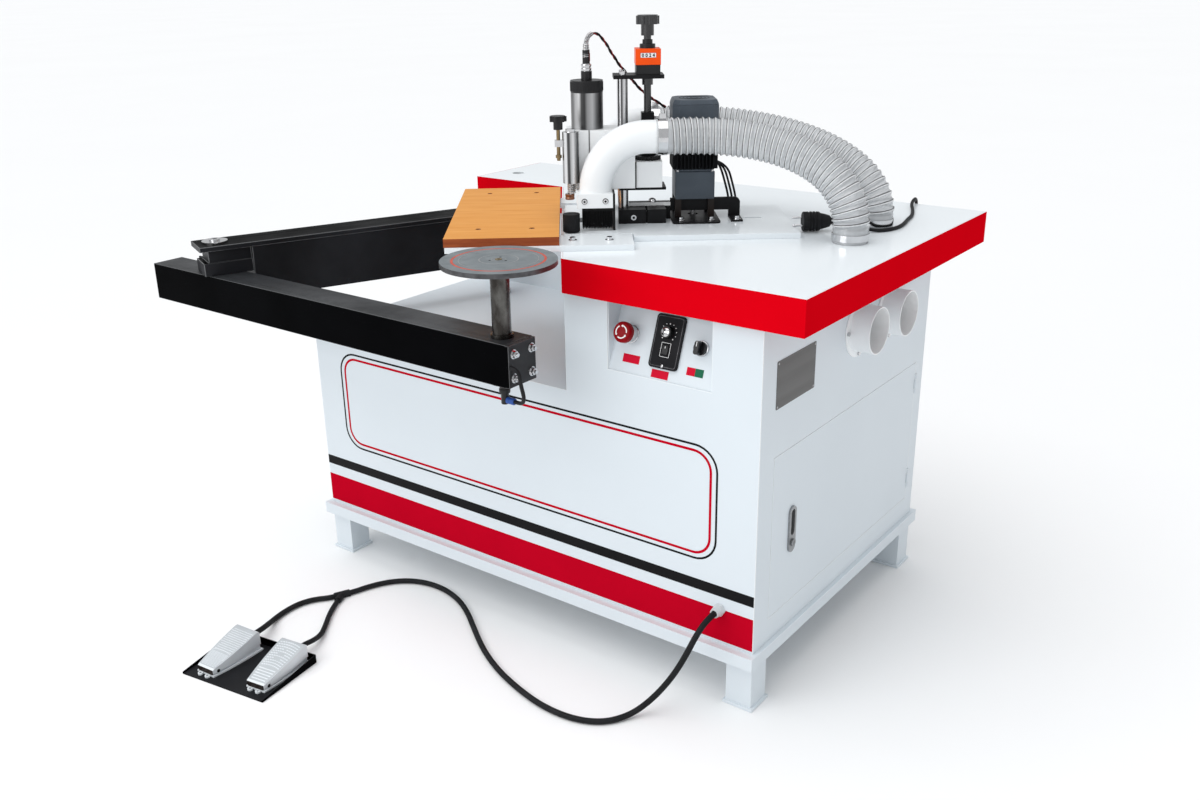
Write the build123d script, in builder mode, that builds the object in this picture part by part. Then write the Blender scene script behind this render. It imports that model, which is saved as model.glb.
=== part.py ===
"""Edge trimming machine: cabinet, table, trimming head, dust hoses, suction arm and foot pedals.

Millimetres, +Z up, origin on the floor at the centre of the four feet, front face towards -Y.
"""

import math
import os

from build123d import *

os.makedirs("parts", exist_ok=True)

# Cabinet
cabinet_length = 1267
cabinet_depth = 804
cabinet_bottom = 135
deck_height = 612
sheet = 2
leg_height = 106
leg_size = 60
leg_spacing_x = cabinet_length - leg_size
leg_spacing_y = cabinet_depth - leg_size
foot_plate = 70
foot_thickness = 6
foot_hole_radius = 6.5
foot_hole_depth = 40
rail_width = 50
rail_overhang_front = 18
rail_overhang_side = 9
pan_thickness = 4
raised_start = -465.5

# Table
table_height = 900
table_plate = 6
rim_height = 72
rim_thickness = 4
table_corners = [(-459, -15), (89, -15), (89, 889.5), (-1256.5, 889.5), (-1256.5, 610.5), (-952, 610.5)]
head_turn = 38.24

# Door in the right face
door_front = 60
door_rear = 762
door_low = 190
door_high = 549
door_gap = 0.8
hinge_radius = 4
hinge_pin_radius = 2
hinge_heights = (245, 494)
barrel_length = 24
knuckle_length = 12
knuckle_gap = 0.4

# Dust ports, hoses and elbows
port_radius = 51
port_bore_radius = 48
port_length = 48
port_height = 725
port_y = (413, 568)
hose_bores = 35.2
hose_cuff_radius = 37.6
hose_rib_radius = 40
hose_rib_pitch = 13
elbow_radius = 35
elbow_bore_radius = 32
elbow_bends = (110, 80)
elbow_u = (77, 107)
elbow_v = (226, 440)
elbow_level = 1106
duct_spots = ((605, 91), (694, 235))

# Control panel
recess_left = -356
recess_right = -109
recess_bottom = 680
recess_top = 850
panel_lean = 20.4

# Trimming head
plate_top = 912
slot_spot = (432, 301)
slot_length = 42
slot_width = 9
spindle_axis = (62.8, 310)
spindle_radius = 35
column_spots = ((140, 290), (140, 330))
column_radius = 11
screw_axis = (195, 310)
screw_radius = 8
roller_axis = (23, 187)
motor_axis = (300, 338)
motor_low = 957
pulley_radius = 13
running_gap = 0.05

# Suction arm
shoulder_spot = (-1093, 506.5)
elbow_spot = (-1384, -174)
disc_spot = (-477, -181)
forearm_width = 80
forearm_low = 688
forearm_high = 776
forearm_back = 208
forearm_front = 42
arm_wall = 5
upper_width = 90
upper_low = 711
upper_high = 848
upper_tube_short = 75
lug_thickness = 12
elbow_pin_radius = 16
shoulder_pin_radius = 20
disc_post_radius = 19
disc_radius = 113
disc_top = 930
disc_thickness = 9.5

# Pedals and cords
tray_corner = (-1085.6, -607.1)
tray_turn = 8.3
tray_width = 235
tray_depth = 170
tray_rim = 20
tray_front_rim = 5
pedal_length = 131
pedal_front_width = 48
pedal_rear_width = 67
pedal_bulge = 3.2
pedal_fronts = (((-1038.5, -580), 5.0), ((-900.5, -553), 8.8))
pedal_pivot = (14, 12)
cord_radius = 6.5
branch_radius = 6
mains_radius = 4

ON_BASE = (Align.CENTER, Align.CENTER, Align.MIN)


def from_corner(x, y):
    """A point that was measured from the cabinet's front right corner."""
    return x + cabinet_length / 2, y - cabinet_depth / 2


def turned_plane(origin, degrees, height):
    """A level plane turned about the vertical."""
    turn = math.radians(degrees)
    return Plane(origin=(origin[0], origin[1], height), x_dir=(math.cos(turn), math.sin(turn), 0), z_dir=(0, 0, 1))


def head_plane(height):
    """Level plane of the trimming head: U along the work's edge normal, V along the table's slanted edge."""
    return turned_plane(from_corner(*table_corners[0]), head_turn, height)


def head_at(u, v, height):
    """A place on the trimming head."""
    return Location(head_plane(height)) * Location((u, v, 0))


def head_point(u, v, height):
    """The same place as a plain point."""
    return tuple(head_at(u, v, height).position)


def head_box(u_low, u_high, v_low, v_high, low, high, mode=Mode.ADD):
    """A block square to the trimming head."""
    with Locations(head_at((u_low + u_high) / 2, (v_low + v_high) / 2, low)):
        Box(u_high - u_low, v_high - v_low, high - low, align=ON_BASE, mode=mode)


def head_rod(u, v, low, high, radius, mode=Mode.ADD):
    """An upright cylinder on the trimming head."""
    with Locations(head_at(u, v, low)):
        Cylinder(radius, high - low, align=ON_BASE, mode=mode)


def head_slot(low, high):
    """Cuts the adjusting slot of the head's base plate."""
    with BuildSketch(head_plane(low)) as slot:
        with Locations(slot_spot):
            SlotOverall(slot_length, slot_width)
    extrude(slot.sketch, amount=high - low, mode=Mode.SUBTRACT)


def save(part, label):
    """Labels a sub-part and writes its file."""
    part.part.label = label
    export_step(part.part, f"parts/{label}.step")


def bend_radii(points, caps):
    """The bend at each inner point of a cord: 0.45 of its shorter run, or the cap that is given there."""
    radii = []
    for index in range(1, len(points) - 1):
        before = Vector(*points[index]) - Vector(*points[index - 1])
        after = Vector(*points[index + 1]) - Vector(*points[index])
        half = math.radians(before.get_angle(after)) / 2
        radius = 0.45 * min(before.length, after.length) / math.tan(half)
        radii.append(min(radius, caps.get(index, 600)))
    return radii


def report_cord(label, part, points, radii, radius):
    """Prints the bends of a cord, and its volume against section times length."""
    length = 0
    for first, second in zip(points, points[1:]):
        length += (Vector(*second) - Vector(*first)).length
    for index, bend in enumerate(radii, 1):
        before = Vector(*points[index]) - Vector(*points[index - 1])
        after = Vector(*points[index + 1]) - Vector(*points[index])
        angle = math.radians(before.get_angle(after))
        length += bend * angle - 2 * bend * math.tan(angle / 2)
    ratio = part.part.volume / (math.pi * radius**2 * length)
    print(label, "length", round(length), "tightest bend", round(min(radii), 1), "volume ratio", round(ratio, 4))


def hose_stations(start, base, lead, tail, pull_start, pull_end, step):
    """Centres and directions along a hose: a level run, one smooth bend and an upright run."""
    first = (start[0] + lead, start[1], start[2])
    last = (base[0], base[1], base[2] + tail)
    second = (first[0] + pull_start, first[1], first[2])
    third = (last[0], last[1], last[2] + pull_end)
    fine = []
    for index in range(40):
        part_way = index / 40
        fine.append(tuple(s + (f - s) * part_way for s, f in zip(start, first)))
    for index in range(400):
        t = index / 400
        weights = ((1 - t) ** 3, 3 * t * (1 - t) ** 2, 3 * t * t * (1 - t), t**3)
        fine.append(tuple(sum(w * p for w, p in zip(weights, column)) for column in zip(first, second, third, last)))
    for index in range(21):
        part_way = index / 20
        fine.append(tuple(s + (f - s) * part_way for s, f in zip(last, base)))
    lengths = [0]
    for before, after in zip(fine, fine[1:]):
        lengths.append(lengths[-1] + math.dist(before, after))
    count = round(lengths[-1] / step)
    stations = []
    for index in range(count + 1):
        target = lengths[-1] * index / count
        spot = max(1, next(k for k, value in enumerate(lengths) if value >= target - 1e-9))
        share = (target - lengths[spot - 1]) / (lengths[spot] - lengths[spot - 1])
        centre = tuple(a + (b - a) * share for a, b in zip(fine[spot - 1], fine[spot]))
        low = fine[max(0, spot - 4)]
        high = fine[min(len(fine) - 1, spot + 3)]
        stations.append((centre, tuple(b - a for a, b in zip(low, high))))
    return stations


def hose_planes(stations):
    """Section planes for the stations, all with a steady X axis."""
    side = head_plane(0).y_dir
    planes = []
    for centre, direction in stations:
        u_axis = head_plane(0).x_dir
        along = u_axis * direction[0] + side * direction[1] + Vector(0, 0, direction[2])
        along = along.normalized()
        across = (side - along * side.dot(along)).normalized()
        planes.append(Plane(origin=head_point(*centre), x_dir=across, z_dir=along))
    return planes


# Base frame with legs and feet
with BuildPart() as base_frame:
    with BuildSketch(Plane.XY.offset(leg_height)):
        Rectangle(cabinet_length + 2 * rail_overhang_side, cabinet_depth + 2 * rail_overhang_front)
        Rectangle(cabinet_length - 2 * rail_width, cabinet_depth - 2 * rail_width, mode=Mode.SUBTRACT)
    extrude(amount=cabinet_bottom - leg_height)
    with BuildSketch(Plane.XY.offset(cabinet_bottom - pan_thickness)):
        Rectangle(cabinet_length - rail_width, cabinet_depth - rail_width)
    extrude(amount=pan_thickness)
    with BuildSketch(Plane.XY.offset(foot_thickness)):
        with GridLocations(leg_spacing_x, leg_spacing_y, 2, 2):
            Rectangle(leg_size, leg_size)
    extrude(amount=leg_height - foot_thickness)
    with BuildSketch(Plane.XY):
        with GridLocations(leg_spacing_x, leg_spacing_y, 2, 2):
            Rectangle(foot_plate, foot_plate)
    extrude(amount=foot_thickness)
    with BuildSketch(Plane.XY):
        with GridLocations(leg_spacing_x, leg_spacing_y, 2, 2):
            Circle(foot_hole_radius)
    extrude(amount=foot_hole_depth, mode=Mode.SUBTRACT)
save(base_frame, "base_frame")

# Front sheet with the control recess and the pedal cord's hole
half_length = cabinet_length / 2
half_depth = cabinet_depth / 2
raised_x = from_corner(raised_start, 0)[0]
wall_top = table_height - table_plate
recess_x = from_corner((recess_left + recess_right) / 2, 0)[0]
recess_width = recess_right - recess_left
gland_x = from_corner(-79, 0)[0]
gland_height = 215
with BuildPart() as cabinet_front:
    with BuildSketch(Plane.XZ.offset(half_depth)):
        Polygon(
            (-half_length, cabinet_bottom),
            (half_length, cabinet_bottom),
            (half_length, wall_top),
            (raised_x, wall_top),
            (raised_x, deck_height),
            (-half_length, deck_height),
            align=None,
        )
        with Locations((recess_x, (recess_bottom + recess_top) / 2)):
            Rectangle(recess_width, recess_top - recess_bottom, mode=Mode.SUBTRACT)
        with Locations((gland_x, gland_height)):
            Circle(9, mode=Mode.SUBTRACT)
    extrude(amount=-sheet)
save(cabinet_front, "cabinet_front")

# Left and rear sheets in one bent piece
mains_gland = (from_corner(-420, 0)[0], 500)
raised_rear_x = from_corner(table_corners[3][0] + rim_thickness, 0)[0]
with BuildPart() as cabinet_shell:
    with BuildSketch(Plane.YZ.offset(-half_length)):
        with Locations((0, (cabinet_bottom + deck_height) / 2)):
            Rectangle(cabinet_depth - 2 * sheet, deck_height - cabinet_bottom)
    extrude(amount=sheet)
    with BuildSketch(Plane.XZ.offset(-half_depth)):
        Polygon(
            (-half_length, cabinet_bottom),
            (half_length, cabinet_bottom),
            (half_length, wall_top),
            (raised_rear_x, wall_top),
            (raised_rear_x, deck_height),
            (-half_length, deck_height),
            align=None,
        )
        with Locations(mains_gland):
            Circle(7, mode=Mode.SUBTRACT)
    extrude(amount=sheet)
save(cabinet_shell, "cabinet_shell")

# Right sheet with the door opening, the hinge barrels and the port holes
door_front_y = from_corner(0, door_front)[1]
door_rear_y = from_corner(0, door_rear)[1]
hinge_y = door_rear_y - door_gap / 2
knuckle_offset = (barrel_length + knuckle_length) / 2 + knuckle_gap
with BuildPart() as cabinet_right:
    with BuildSketch(Plane.YZ.offset(half_length)):
        with Locations((0, (cabinet_bottom + wall_top) / 2)):
            Rectangle(cabinet_depth - 2 * sheet, wall_top - cabinet_bottom)
        with Locations(((door_front_y + door_rear_y) / 2, (door_low + door_high) / 2)):
            Rectangle(door_rear_y - door_front_y, door_high - door_low, mode=Mode.SUBTRACT)
        with Locations(*[(from_corner(0, y)[1], port_height) for y in port_y]):
            Circle(port_radius + running_gap, mode=Mode.SUBTRACT)
        with Locations(*[(door_rear_y, z + s * knuckle_offset) for z in hinge_heights for s in (-1, 1)]):
            Rectangle(2 * hinge_radius + 3, knuckle_length + 2 * knuckle_gap, mode=Mode.SUBTRACT)
    extrude(amount=-sheet)
    with Locations(*[(half_length, hinge_y, z) for z in hinge_heights]):
        Cylinder(hinge_radius, barrel_length)
        Cylinder(hinge_pin_radius + running_gap, barrel_length, mode=Mode.SUBTRACT)
save(cabinet_right, "cabinet_right")

# Door with its hinge knuckles, pins and a stiffening pan
with BuildPart() as door:
    with BuildSketch(Plane.YZ.offset(half_length)):
        with Locations(((door_front_y + door_rear_y) / 2, (door_low + door_high) / 2)):
            Rectangle(door_rear_y - door_front_y - 2 * door_gap, door_high - door_low - 2 * door_gap)
        with Locations(*[(door_rear_y, z) for z in hinge_heights]):
            Rectangle(2 * hinge_radius + 3, barrel_length + 2 * knuckle_gap, mode=Mode.SUBTRACT)
        with Locations((from_corner(0, 145)[1], 361.5)):
            Rectangle(18, 84, mode=Mode.SUBTRACT)
    extrude(amount=-sheet)
    with Locations(*[(half_length, hinge_y, z + s * knuckle_offset) for z in hinge_heights for s in (-1, 1)]):
        Cylinder(hinge_radius, knuckle_length)
    with Locations(*[(half_length, hinge_y, z) for z in hinge_heights]):
        Cylinder(hinge_pin_radius, barrel_length + 2 * knuckle_length)
    with BuildSketch(Plane.YZ.offset(half_length - sheet)):
        with Locations(((door_front_y + door_rear_y) / 2, (door_low + door_high) / 2)):
            Rectangle(door_rear_y - door_front_y - 60, door_high - door_low - 40)
            Rectangle(door_rear_y - door_front_y - 64, door_high - door_low - 44, mode=Mode.SUBTRACT)
    extrude(amount=-12)
save(door, "door")

# Door handle: an oval escutcheon with a recessed cup and a turning latch key
handle_y = from_corner(0, 145)[1]
handle_z = 361.5
with BuildPart() as handle_plate:
    with BuildSketch(Plane.YZ.offset(half_length)):
        with Locations((handle_y, handle_z)):
            SlotOverall(104, 28, rotation=90)
            with Locations((0, 16)):
                SlotOverall(58, 15, rotation=90, mode=Mode.SUBTRACT)
            with Locations((0, -30)):
                Circle(6 + running_gap, mode=Mode.SUBTRACT)
    extrude(amount=4)
    with BuildSketch(Plane.YZ.offset(half_length)):
        with Locations((handle_y, handle_z)):
            Rectangle(17, 83)
            with Locations((0, 16)):
                SlotOverall(58, 15, rotation=90, mode=Mode.SUBTRACT)
            with Locations((0, -30)):
                Circle(6 + running_gap, mode=Mode.SUBTRACT)
    extrude(amount=-10)
    with BuildSketch(Plane.YZ.offset(half_length - 10)):
        with Locations((handle_y, handle_z + 16)):
            Rectangle(17, 60)
    extrude(amount=-2)
save(handle_plate, "handle_plate")

with BuildPart() as door_latch:
    with BuildSketch(Plane.YZ.offset(half_length + 4.4)):
        with Locations((handle_y, handle_z - 30)):
            Circle(8)
    extrude(amount=4)
    with BuildSketch(Plane.YZ.offset(half_length - 18)):
        with Locations((handle_y, handle_z - 30)):
            Circle(6)
    extrude(amount=22.4)
    with BuildSketch(Plane.YZ.offset(half_length - 21)):
        with Locations((handle_y - 24, handle_z - 30)):
            Rectangle(64, 14)
    extrude(amount=3)
    with BuildSketch(Plane.YZ.offset(half_length + 8.4)):
        with Locations((handle_y, handle_z - 30)):
            Rectangle(2.4, 10)
    extrude(amount=-2.5, mode=Mode.SUBTRACT)
save(door_latch, "door_latch")

# Table outline, and the same shape inside the rim
table_outline = [from_corner(*corner) for corner in table_corners]
inner_x = cabinet_length - 2 * sheet
inner_y = cabinet_depth - 2 * sheet

# Deck on the low left part, with the walls that stand up from it under the table
with BuildPart() as cabinet_deck:
    with BuildSketch(Plane.XY.offset(deck_height - sheet)):
        Rectangle(inner_x, inner_y)
        with BuildSketch(mode=Mode.SUBTRACT):
            Polygon(*table_outline, align=None)
            offset(amount=-rim_thickness - sheet, kind=Kind.INTERSECTION, mode=Mode.REPLACE)
    extrude(amount=sheet)
    with BuildSketch(Plane.XY.offset(deck_height - sheet)):
        Polygon(*table_outline, align=None)
        offset(amount=-rim_thickness, kind=Kind.INTERSECTION, mode=Mode.REPLACE)
        offset(amount=-sheet, kind=Kind.INTERSECTION, mode=Mode.SUBTRACT)
        Rectangle(inner_x, inner_y, mode=Mode.INTERSECT)
    extrude(amount=wall_top - deck_height + sheet)
save(cabinet_deck, "cabinet_deck")

with BuildPart() as table_rim:
    with BuildSketch(Plane.XY.offset(table_height - rim_height)):
        Polygon(*table_outline, align=None)
        offset(amount=-rim_thickness, kind=Kind.INTERSECTION, mode=Mode.SUBTRACT)
    extrude(amount=rim_height)
save(table_rim, "table_rim")

# Table plate with its holes
with BuildPart() as table_top:
    with BuildSketch(Plane.XY.offset(wall_top)):
        Polygon(*table_outline, align=None)
        offset(amount=-rim_thickness, kind=Kind.INTERSECTION, mode=Mode.REPLACE)
        with Locations(from_corner(-1193, 715)):
            Circle(17, mode=Mode.SUBTRACT)
    extrude(amount=table_plate)
    head_slot(wall_top, table_height)
    for spot in duct_spots:
        head_rod(*spot, wall_top, table_height, elbow_radius + running_gap, mode=Mode.SUBTRACT)
    head_rod(*spindle_axis, wall_top, table_height, 32, mode=Mode.SUBTRACT)
    head_rod(*roller_axis, wall_top, table_height, 10, mode=Mode.SUBTRACT)
    head_rod(*motor_axis, wall_top, table_height, 12, mode=Mode.SUBTRACT)
save(table_top, "table_top")

# Dust ports on the right face
with BuildPart() as dust_ports:
    for y in port_y:
        with BuildSketch(Plane.YZ.offset(half_length - sheet)):
            with Locations((from_corner(0, y)[1], port_height)):
                Circle(port_radius)
        extrude(amount=sheet + port_length)
        with BuildSketch(Plane.YZ.offset(half_length)):
            with Locations((from_corner(0, y)[1], port_height)):
                Circle(port_radius + 13)
        extrude(amount=3)
    for y in port_y:
        with BuildSketch(Plane.YZ.offset(half_length - sheet)):
            with Locations((from_corner(0, y)[1], port_height)):
                Circle(port_bore_radius)
        extrude(amount=sheet + port_length, mode=Mode.SUBTRACT)
save(dust_ports, "dust_ports")

# Ducts inside the cabinet, from the table spigots to the ports
duct_low = port_height - port_radius
spigot_top = table_height + 28
with BuildPart() as dust_ducts:
    for spot, y in zip(duct_spots, port_y):
        head_rod(*spot, duct_low, spigot_top, elbow_radius)
        with BuildSketch(Plane.YZ.offset(half_length - sheet)):
            with Locations((from_corner(0, y)[1], port_height)):
                Circle(port_radius)
        extrude(amount=-(half_length - sheet - head_point(*spot, 0)[0] + 30))
    for spot, y in zip(duct_spots, port_y):
        head_rod(*spot, duct_low + 3, spigot_top, elbow_radius - 2, mode=Mode.SUBTRACT)
        with BuildSketch(Plane.YZ.offset(half_length - sheet)):
            with Locations((from_corner(0, y)[1], port_height)):
                Circle(port_bore_radius)
        extrude(amount=-(half_length - sheet - head_point(*spot, 0)[0] + 27), mode=Mode.SUBTRACT)
save(dust_ducts, "dust_ducts")

# Control recess: the leaning panel with its two side cheeks
lean = math.radians(panel_lean)
panel_origin = (recess_x, -half_depth + sheet, recess_bottom + 2)
panel_plane = Plane(
    origin=panel_origin,
    x_dir=(1, 0, 0),
    z_dir=(0, -math.cos(lean), math.sin(lean)),
)
panel_height = (recess_top - recess_bottom - 4) / math.cos(lean)
estop_spot = (-84, 78)
selector_spot = (83, 77)
controller_spot = (5, 76)
with BuildPart() as control_tray:
    with BuildSketch(panel_plane):
        with Locations((0, panel_height / 2)):
            Rectangle(recess_width, panel_height)
        with Locations(estop_spot):
            Circle(7 + running_gap, mode=Mode.SUBTRACT)
        with Locations(selector_spot):
            Circle(6 + running_gap, mode=Mode.SUBTRACT)
        with Locations((controller_spot[0], controller_spot[1] + 19)):
            Circle(5, mode=Mode.SUBTRACT)
    extrude(amount=-sheet)
    cheek_depth = (recess_top - recess_bottom - 2) * math.tan(lean)
    for side in (recess_x - recess_width / 2, recess_x + recess_width / 2 - sheet):
        with BuildSketch(Plane.YZ.offset(side)):
            Polygon(
                (-half_depth + sheet, recess_bottom),
                (-half_depth + sheet, recess_top),
                (-half_depth + sheet + cheek_depth, recess_top),
                align=None,
            )
        extrude(amount=sheet)
    with BuildSketch(panel_plane):
        with Locations(estop_spot):
            Circle(15)
            Circle(7 + running_gap, mode=Mode.SUBTRACT)
    extrude(amount=16)
    with BuildSketch(panel_plane):
        with Locations(selector_spot):
            Circle(14)
            Circle(6 + running_gap, mode=Mode.SUBTRACT)
    extrude(amount=4)
save(control_tray, "control_tray")

# Emergency stop: mushroom head on a plunger
with BuildPart() as estop_button:
    with BuildSketch(panel_plane.offset(-14)):
        with Locations(estop_spot):
            Circle(7)
    extrude(amount=42)
    with BuildSketch(panel_plane.offset(24.5)):
        with Locations(estop_spot):
            Circle(21.5)
    extrude(amount=14)
    fillet(estop_button.edges().sort_by(Axis(panel_origin, panel_plane.z_dir))[-1], 6)
save(estop_button, "estop_button")

# Speed controller: a flat case with a knob and a rocker
with BuildPart() as speed_controller:
    with BuildSketch(panel_plane):
        with Locations(controller_spot):
            RectangleRounded(66, 108, 8)
            with Locations((0, 19)):
                Circle(4 + running_gap, mode=Mode.SUBTRACT)
    extrude(amount=6)
    with BuildSketch(panel_plane.offset(6)):
        with Locations((controller_spot[0], controller_spot[1] - 16)):
            Rectangle(14.6, 21.6)
    extrude(amount=-5, mode=Mode.SUBTRACT)
save(speed_controller, "speed_controller")

with BuildPart() as speed_knob:
    with BuildSketch(panel_plane.offset(-8)):
        with Locations((controller_spot[0], controller_spot[1] + 19)):
            Circle(4)
    extrude(amount=16)
    with BuildSketch(panel_plane.offset(6.5)):
        with Locations((controller_spot[0], controller_spot[1] + 19)):
            Circle(13)
    extrude(amount=12, taper=6)
save(speed_knob, "speed_knob")

# Rocker: a bar with a peaked top on a small pivot
rocker_plane = Plane(
    origin=panel_plane.from_local_coords((controller_spot[0], controller_spot[1] - 16, 4)),
    x_dir=panel_plane.y_dir,
    z_dir=panel_plane.x_dir,
)
with BuildPart() as rocker_switch:
    with BuildSketch(rocker_plane):
        Polygon((-9.4, -1), (9.4, -1), (9.4, 4.4), (0, 3.2), (-9.4, 4.4), align=None)
    extrude(amount=6.6, both=True)
save(rocker_switch, "rocker_switch")

with BuildPart() as selector_knob:
    with BuildSketch(panel_plane.offset(-10)):
        with Locations(selector_spot):
            Circle(6)
    extrude(amount=16)
    with BuildSketch(panel_plane.offset(4.5)):
        with Locations(selector_spot):
            Circle(14)
    extrude(amount=6)
    with BuildSketch(panel_plane.offset(10.5)):
        with Locations(selector_spot):
            SlotOverall(27, 10, rotation=90)
    extrude(amount=14)
save(selector_knob, "selector_knob")

# Cable glands for the pedal cord and the mains cord
with BuildPart() as cable_glands:
    with BuildSketch(Plane.XZ.offset(half_depth)):
        with Locations((gland_x, gland_height)):
            RegularPolygon(14, 6)
    extrude(amount=7)
    with BuildSketch(Plane.XZ.offset(half_depth + 7)):
        with Locations((gland_x, gland_height)):
            Circle(12)
    extrude(amount=15, taper=8)
    with BuildSketch(Plane.XZ.offset(half_depth - 12)):
        with Locations((gland_x, gland_height)):
            Circle(9)
    extrude(amount=12)
    with BuildSketch(Plane.XZ.offset(half_depth - 12)):
        with Locations((gland_x, gland_height)):
            Circle(cord_radius + 0.1)
    extrude(amount=40, mode=Mode.SUBTRACT)
    with BuildSketch(Plane.XZ.offset(-half_depth)):
        with Locations(mains_gland):
            RegularPolygon(11, 6)
    extrude(amount=-6)
    with BuildSketch(Plane.XZ.offset(-half_depth - 6)):
        with Locations(mains_gland):
            Circle(9)
    extrude(amount=-14, taper=8)
    with BuildSketch(Plane.XZ.offset(-half_depth + 10)):
        with Locations(mains_gland):
            Circle(7)
    extrude(amount=-10)
    with BuildSketch(Plane.XZ.offset(-half_depth + 10)):
        with Locations(mains_gland):
            Circle(mains_radius + 0.1)
    extrude(amount=-40, mode=Mode.SUBTRACT)
save(cable_glands, "cable_glands")

# Wooden support board with screw holes
board_screws = ((-175, 557), (-61, 557), (-175, 152), (-61, 151))
with BuildPart() as support_board:
    head_box(-241, -3, 62, 626, plate_top, disc_top)
    for spot in board_screws:
        head_rod(*spot, disc_top - 4, disc_top, 6, mode=Mode.SUBTRACT)
save(support_board, "support_board")

# Two bars under the board and the head's base plate
with BuildPart() as base_plates:
    head_box(-239, 152, 58, 158, table_height, plate_top)
    head_box(-239, 80, 510, 575, table_height, plate_top)
    head_box(8, 160, 162, 484, table_height, plate_top)
    head_box(8, 510, 162, 437, table_height, plate_top)
    head_box(155, 510, 135, 163, table_height, plate_top)
    head_rod(*spindle_axis, table_height, plate_top, 30, mode=Mode.SUBTRACT)
    head_rod(*roller_axis, table_height, plate_top, 7 + running_gap, mode=Mode.SUBTRACT)
    head_rod(*motor_axis, table_height, plate_top, 12, mode=Mode.SUBTRACT)
    head_slot(table_height, plate_top)
save(base_plates, "base_plates")

# Slide rail with its clamps, the brackets that hold the hoods, and the foot on the right
foot_round = 12
with BuildPart() as slide_rail:
    head_box(128, 188, 259, 303, plate_top, 943)
    head_box(192, 233, 259, 303, plate_top, 943)
    head_box(188, 192, 266, 303, plate_top, 938)
    head_box(153, 246, 305, 325, plate_top, 935)
    head_box(153, 246, 307, 323, 935, 942)
    head_box(153, 246, 305, 325, 942, 950)
    with BuildSketch(Plane(origin=head_point(0, 311, 0), x_dir=head_plane(0).x_dir, z_dir=head_plane(0).y_dir * -1)):
        Polygon(
            (246, 929),
            (378, 929),
            (378, plate_top),
            (404, plate_top),
            (404, 957 - foot_round),
            (404 - foot_round, 957),
            (246, 957),
            align=None,
        )
        with Locations((404 - foot_round, 957 - foot_round)):
            Circle(foot_round)
    extrude(amount=-8)
    head_box(378, 404, 258, 311, plate_top, plate_top + 4)
    for u, v in zip(elbow_u, elbow_v):
        head_box(u + 36, u + 41, v - 30, v + 30, plate_top, 990)
save(slide_rail, "slide_rail")

with BuildPart() as guide_columns:
    head_rod(*column_spots[0], 943, 1221, column_radius)
    head_rod(*column_spots[1], plate_top, 1221, column_radius)
save(guide_columns, "guide_columns")

with BuildPart() as top_bracket:
    head_box(120, 229, 276, 344, 1221, 1229)
    head_rod(*screw_axis, 1221, 1229, screw_radius + running_gap, mode=Mode.SUBTRACT)
save(top_bracket, "top_bracket")

# Position indicator: a two-part case with a window and a collar on top
with BuildPart() as position_indicator:
    head_box(169, 221, 282, 338, 1229, 1249)
    head_box(168, 222, 281, 339, 1249, 1282)
    head_rod(*screw_axis, 1282, 1291, 17)
    head_rod(*screw_axis, 1291, 1300, 11)
    head_box(178, 212, 281, 282, 1264, 1274, mode=Mode.SUBTRACT)
    head_rod(*screw_axis, 1229, 1300, screw_radius + running_gap, mode=Mode.SUBTRACT)
save(position_indicator, "position_indicator")

# Height screw with its star knob
with BuildPart() as height_screw:
    head_rod(*screw_axis, 1002, 1312, screw_radius)
    head_rod(*screw_axis, 1206, 1220.6, 12)
    head_rod(*screw_axis, 1308, 1331, 14)
    head_rod(*screw_axis, 1331, 1350, 22)
    with BuildSketch(head_plane(1331)):
        with Locations(screw_axis):
            with PolarLocations(21, 9):
                Circle(4.5)
    extrude(amount=17)
save(height_screw, "height_screw")

# Carriage: the spindle clamp, the column guide, the nut post and the bottom plate
with BuildPart() as head_carriage:
    head_box(16, 165, 266, 354, 989, 1116)
    head_box(165, 225, 272, 348, 989, 1046)
    head_box(181, 209, 296, 324, 1046, 1148)
    head_box(131, 234, 276, 344, 983, 989)
    head_rod(*spindle_axis, 983, 1116, spindle_radius, mode=Mode.SUBTRACT)
    for spot in column_spots:
        head_rod(*spot, 983, 1116, column_radius + running_gap, mode=Mode.SUBTRACT)
    head_rod(*screw_axis, 983, 1148, screw_radius + running_gap, mode=Mode.SUBTRACT)
    head_box(64.3, 67.3, 264, 280, 989, 1116, mode=Mode.SUBTRACT)
save(head_carriage, "head_carriage")

# Spindle motor with its cap, connector and spiral gland
with BuildPart() as spindle_motor:
    head_rod(*spindle_axis, 990, 1193, spindle_radius)
    head_rod(*spindle_axis, 1193, 1218, spindle_radius + 0.5)
    head_rod(*spindle_axis, 1218, 1237, 12)
    head_rod(*spindle_axis, 1237, 1252, 10)
    head_rod(*spindle_axis, 1252, 1280, 8)
    head_rod(*spindle_axis, 1280, 1293, 5.5)
    head_rod(*spindle_axis, 976, 990, 19)
    head_rod(*spindle_axis, 976, 996, 8 + running_gap, mode=Mode.SUBTRACT)
    head_rod(*spindle_axis, 1282, 1293, 3.6, mode=Mode.SUBTRACT)
save(spindle_motor, "spindle_motor")

with BuildPart() as upper_cutter:
    head_rod(*spindle_axis, 960, 994, 8)
    head_rod(*spindle_axis, 956, 975.5, 14)
    head_rod(*spindle_axis, 934, 956, 9)
    with BuildSketch(head_plane(934)):
        with Locations(spindle_axis):
            Rectangle(30, 6)
    extrude(amount=18)
save(upper_cutter, "upper_cutter")

# Lower spindle on the underside of the table, and its cutter
with BuildPart() as lower_spindle:
    u, v = spindle_axis
    head_box(u - 48, u + 48, v - 48, v + 48, wall_top - 8, wall_top)
    head_rod(*spindle_axis, 735, wall_top - 8, spindle_radius)
    head_rod(*spindle_axis, wall_top - 30, wall_top, 8 + running_gap, mode=Mode.SUBTRACT)
save(lower_spindle, "lower_spindle")

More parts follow.
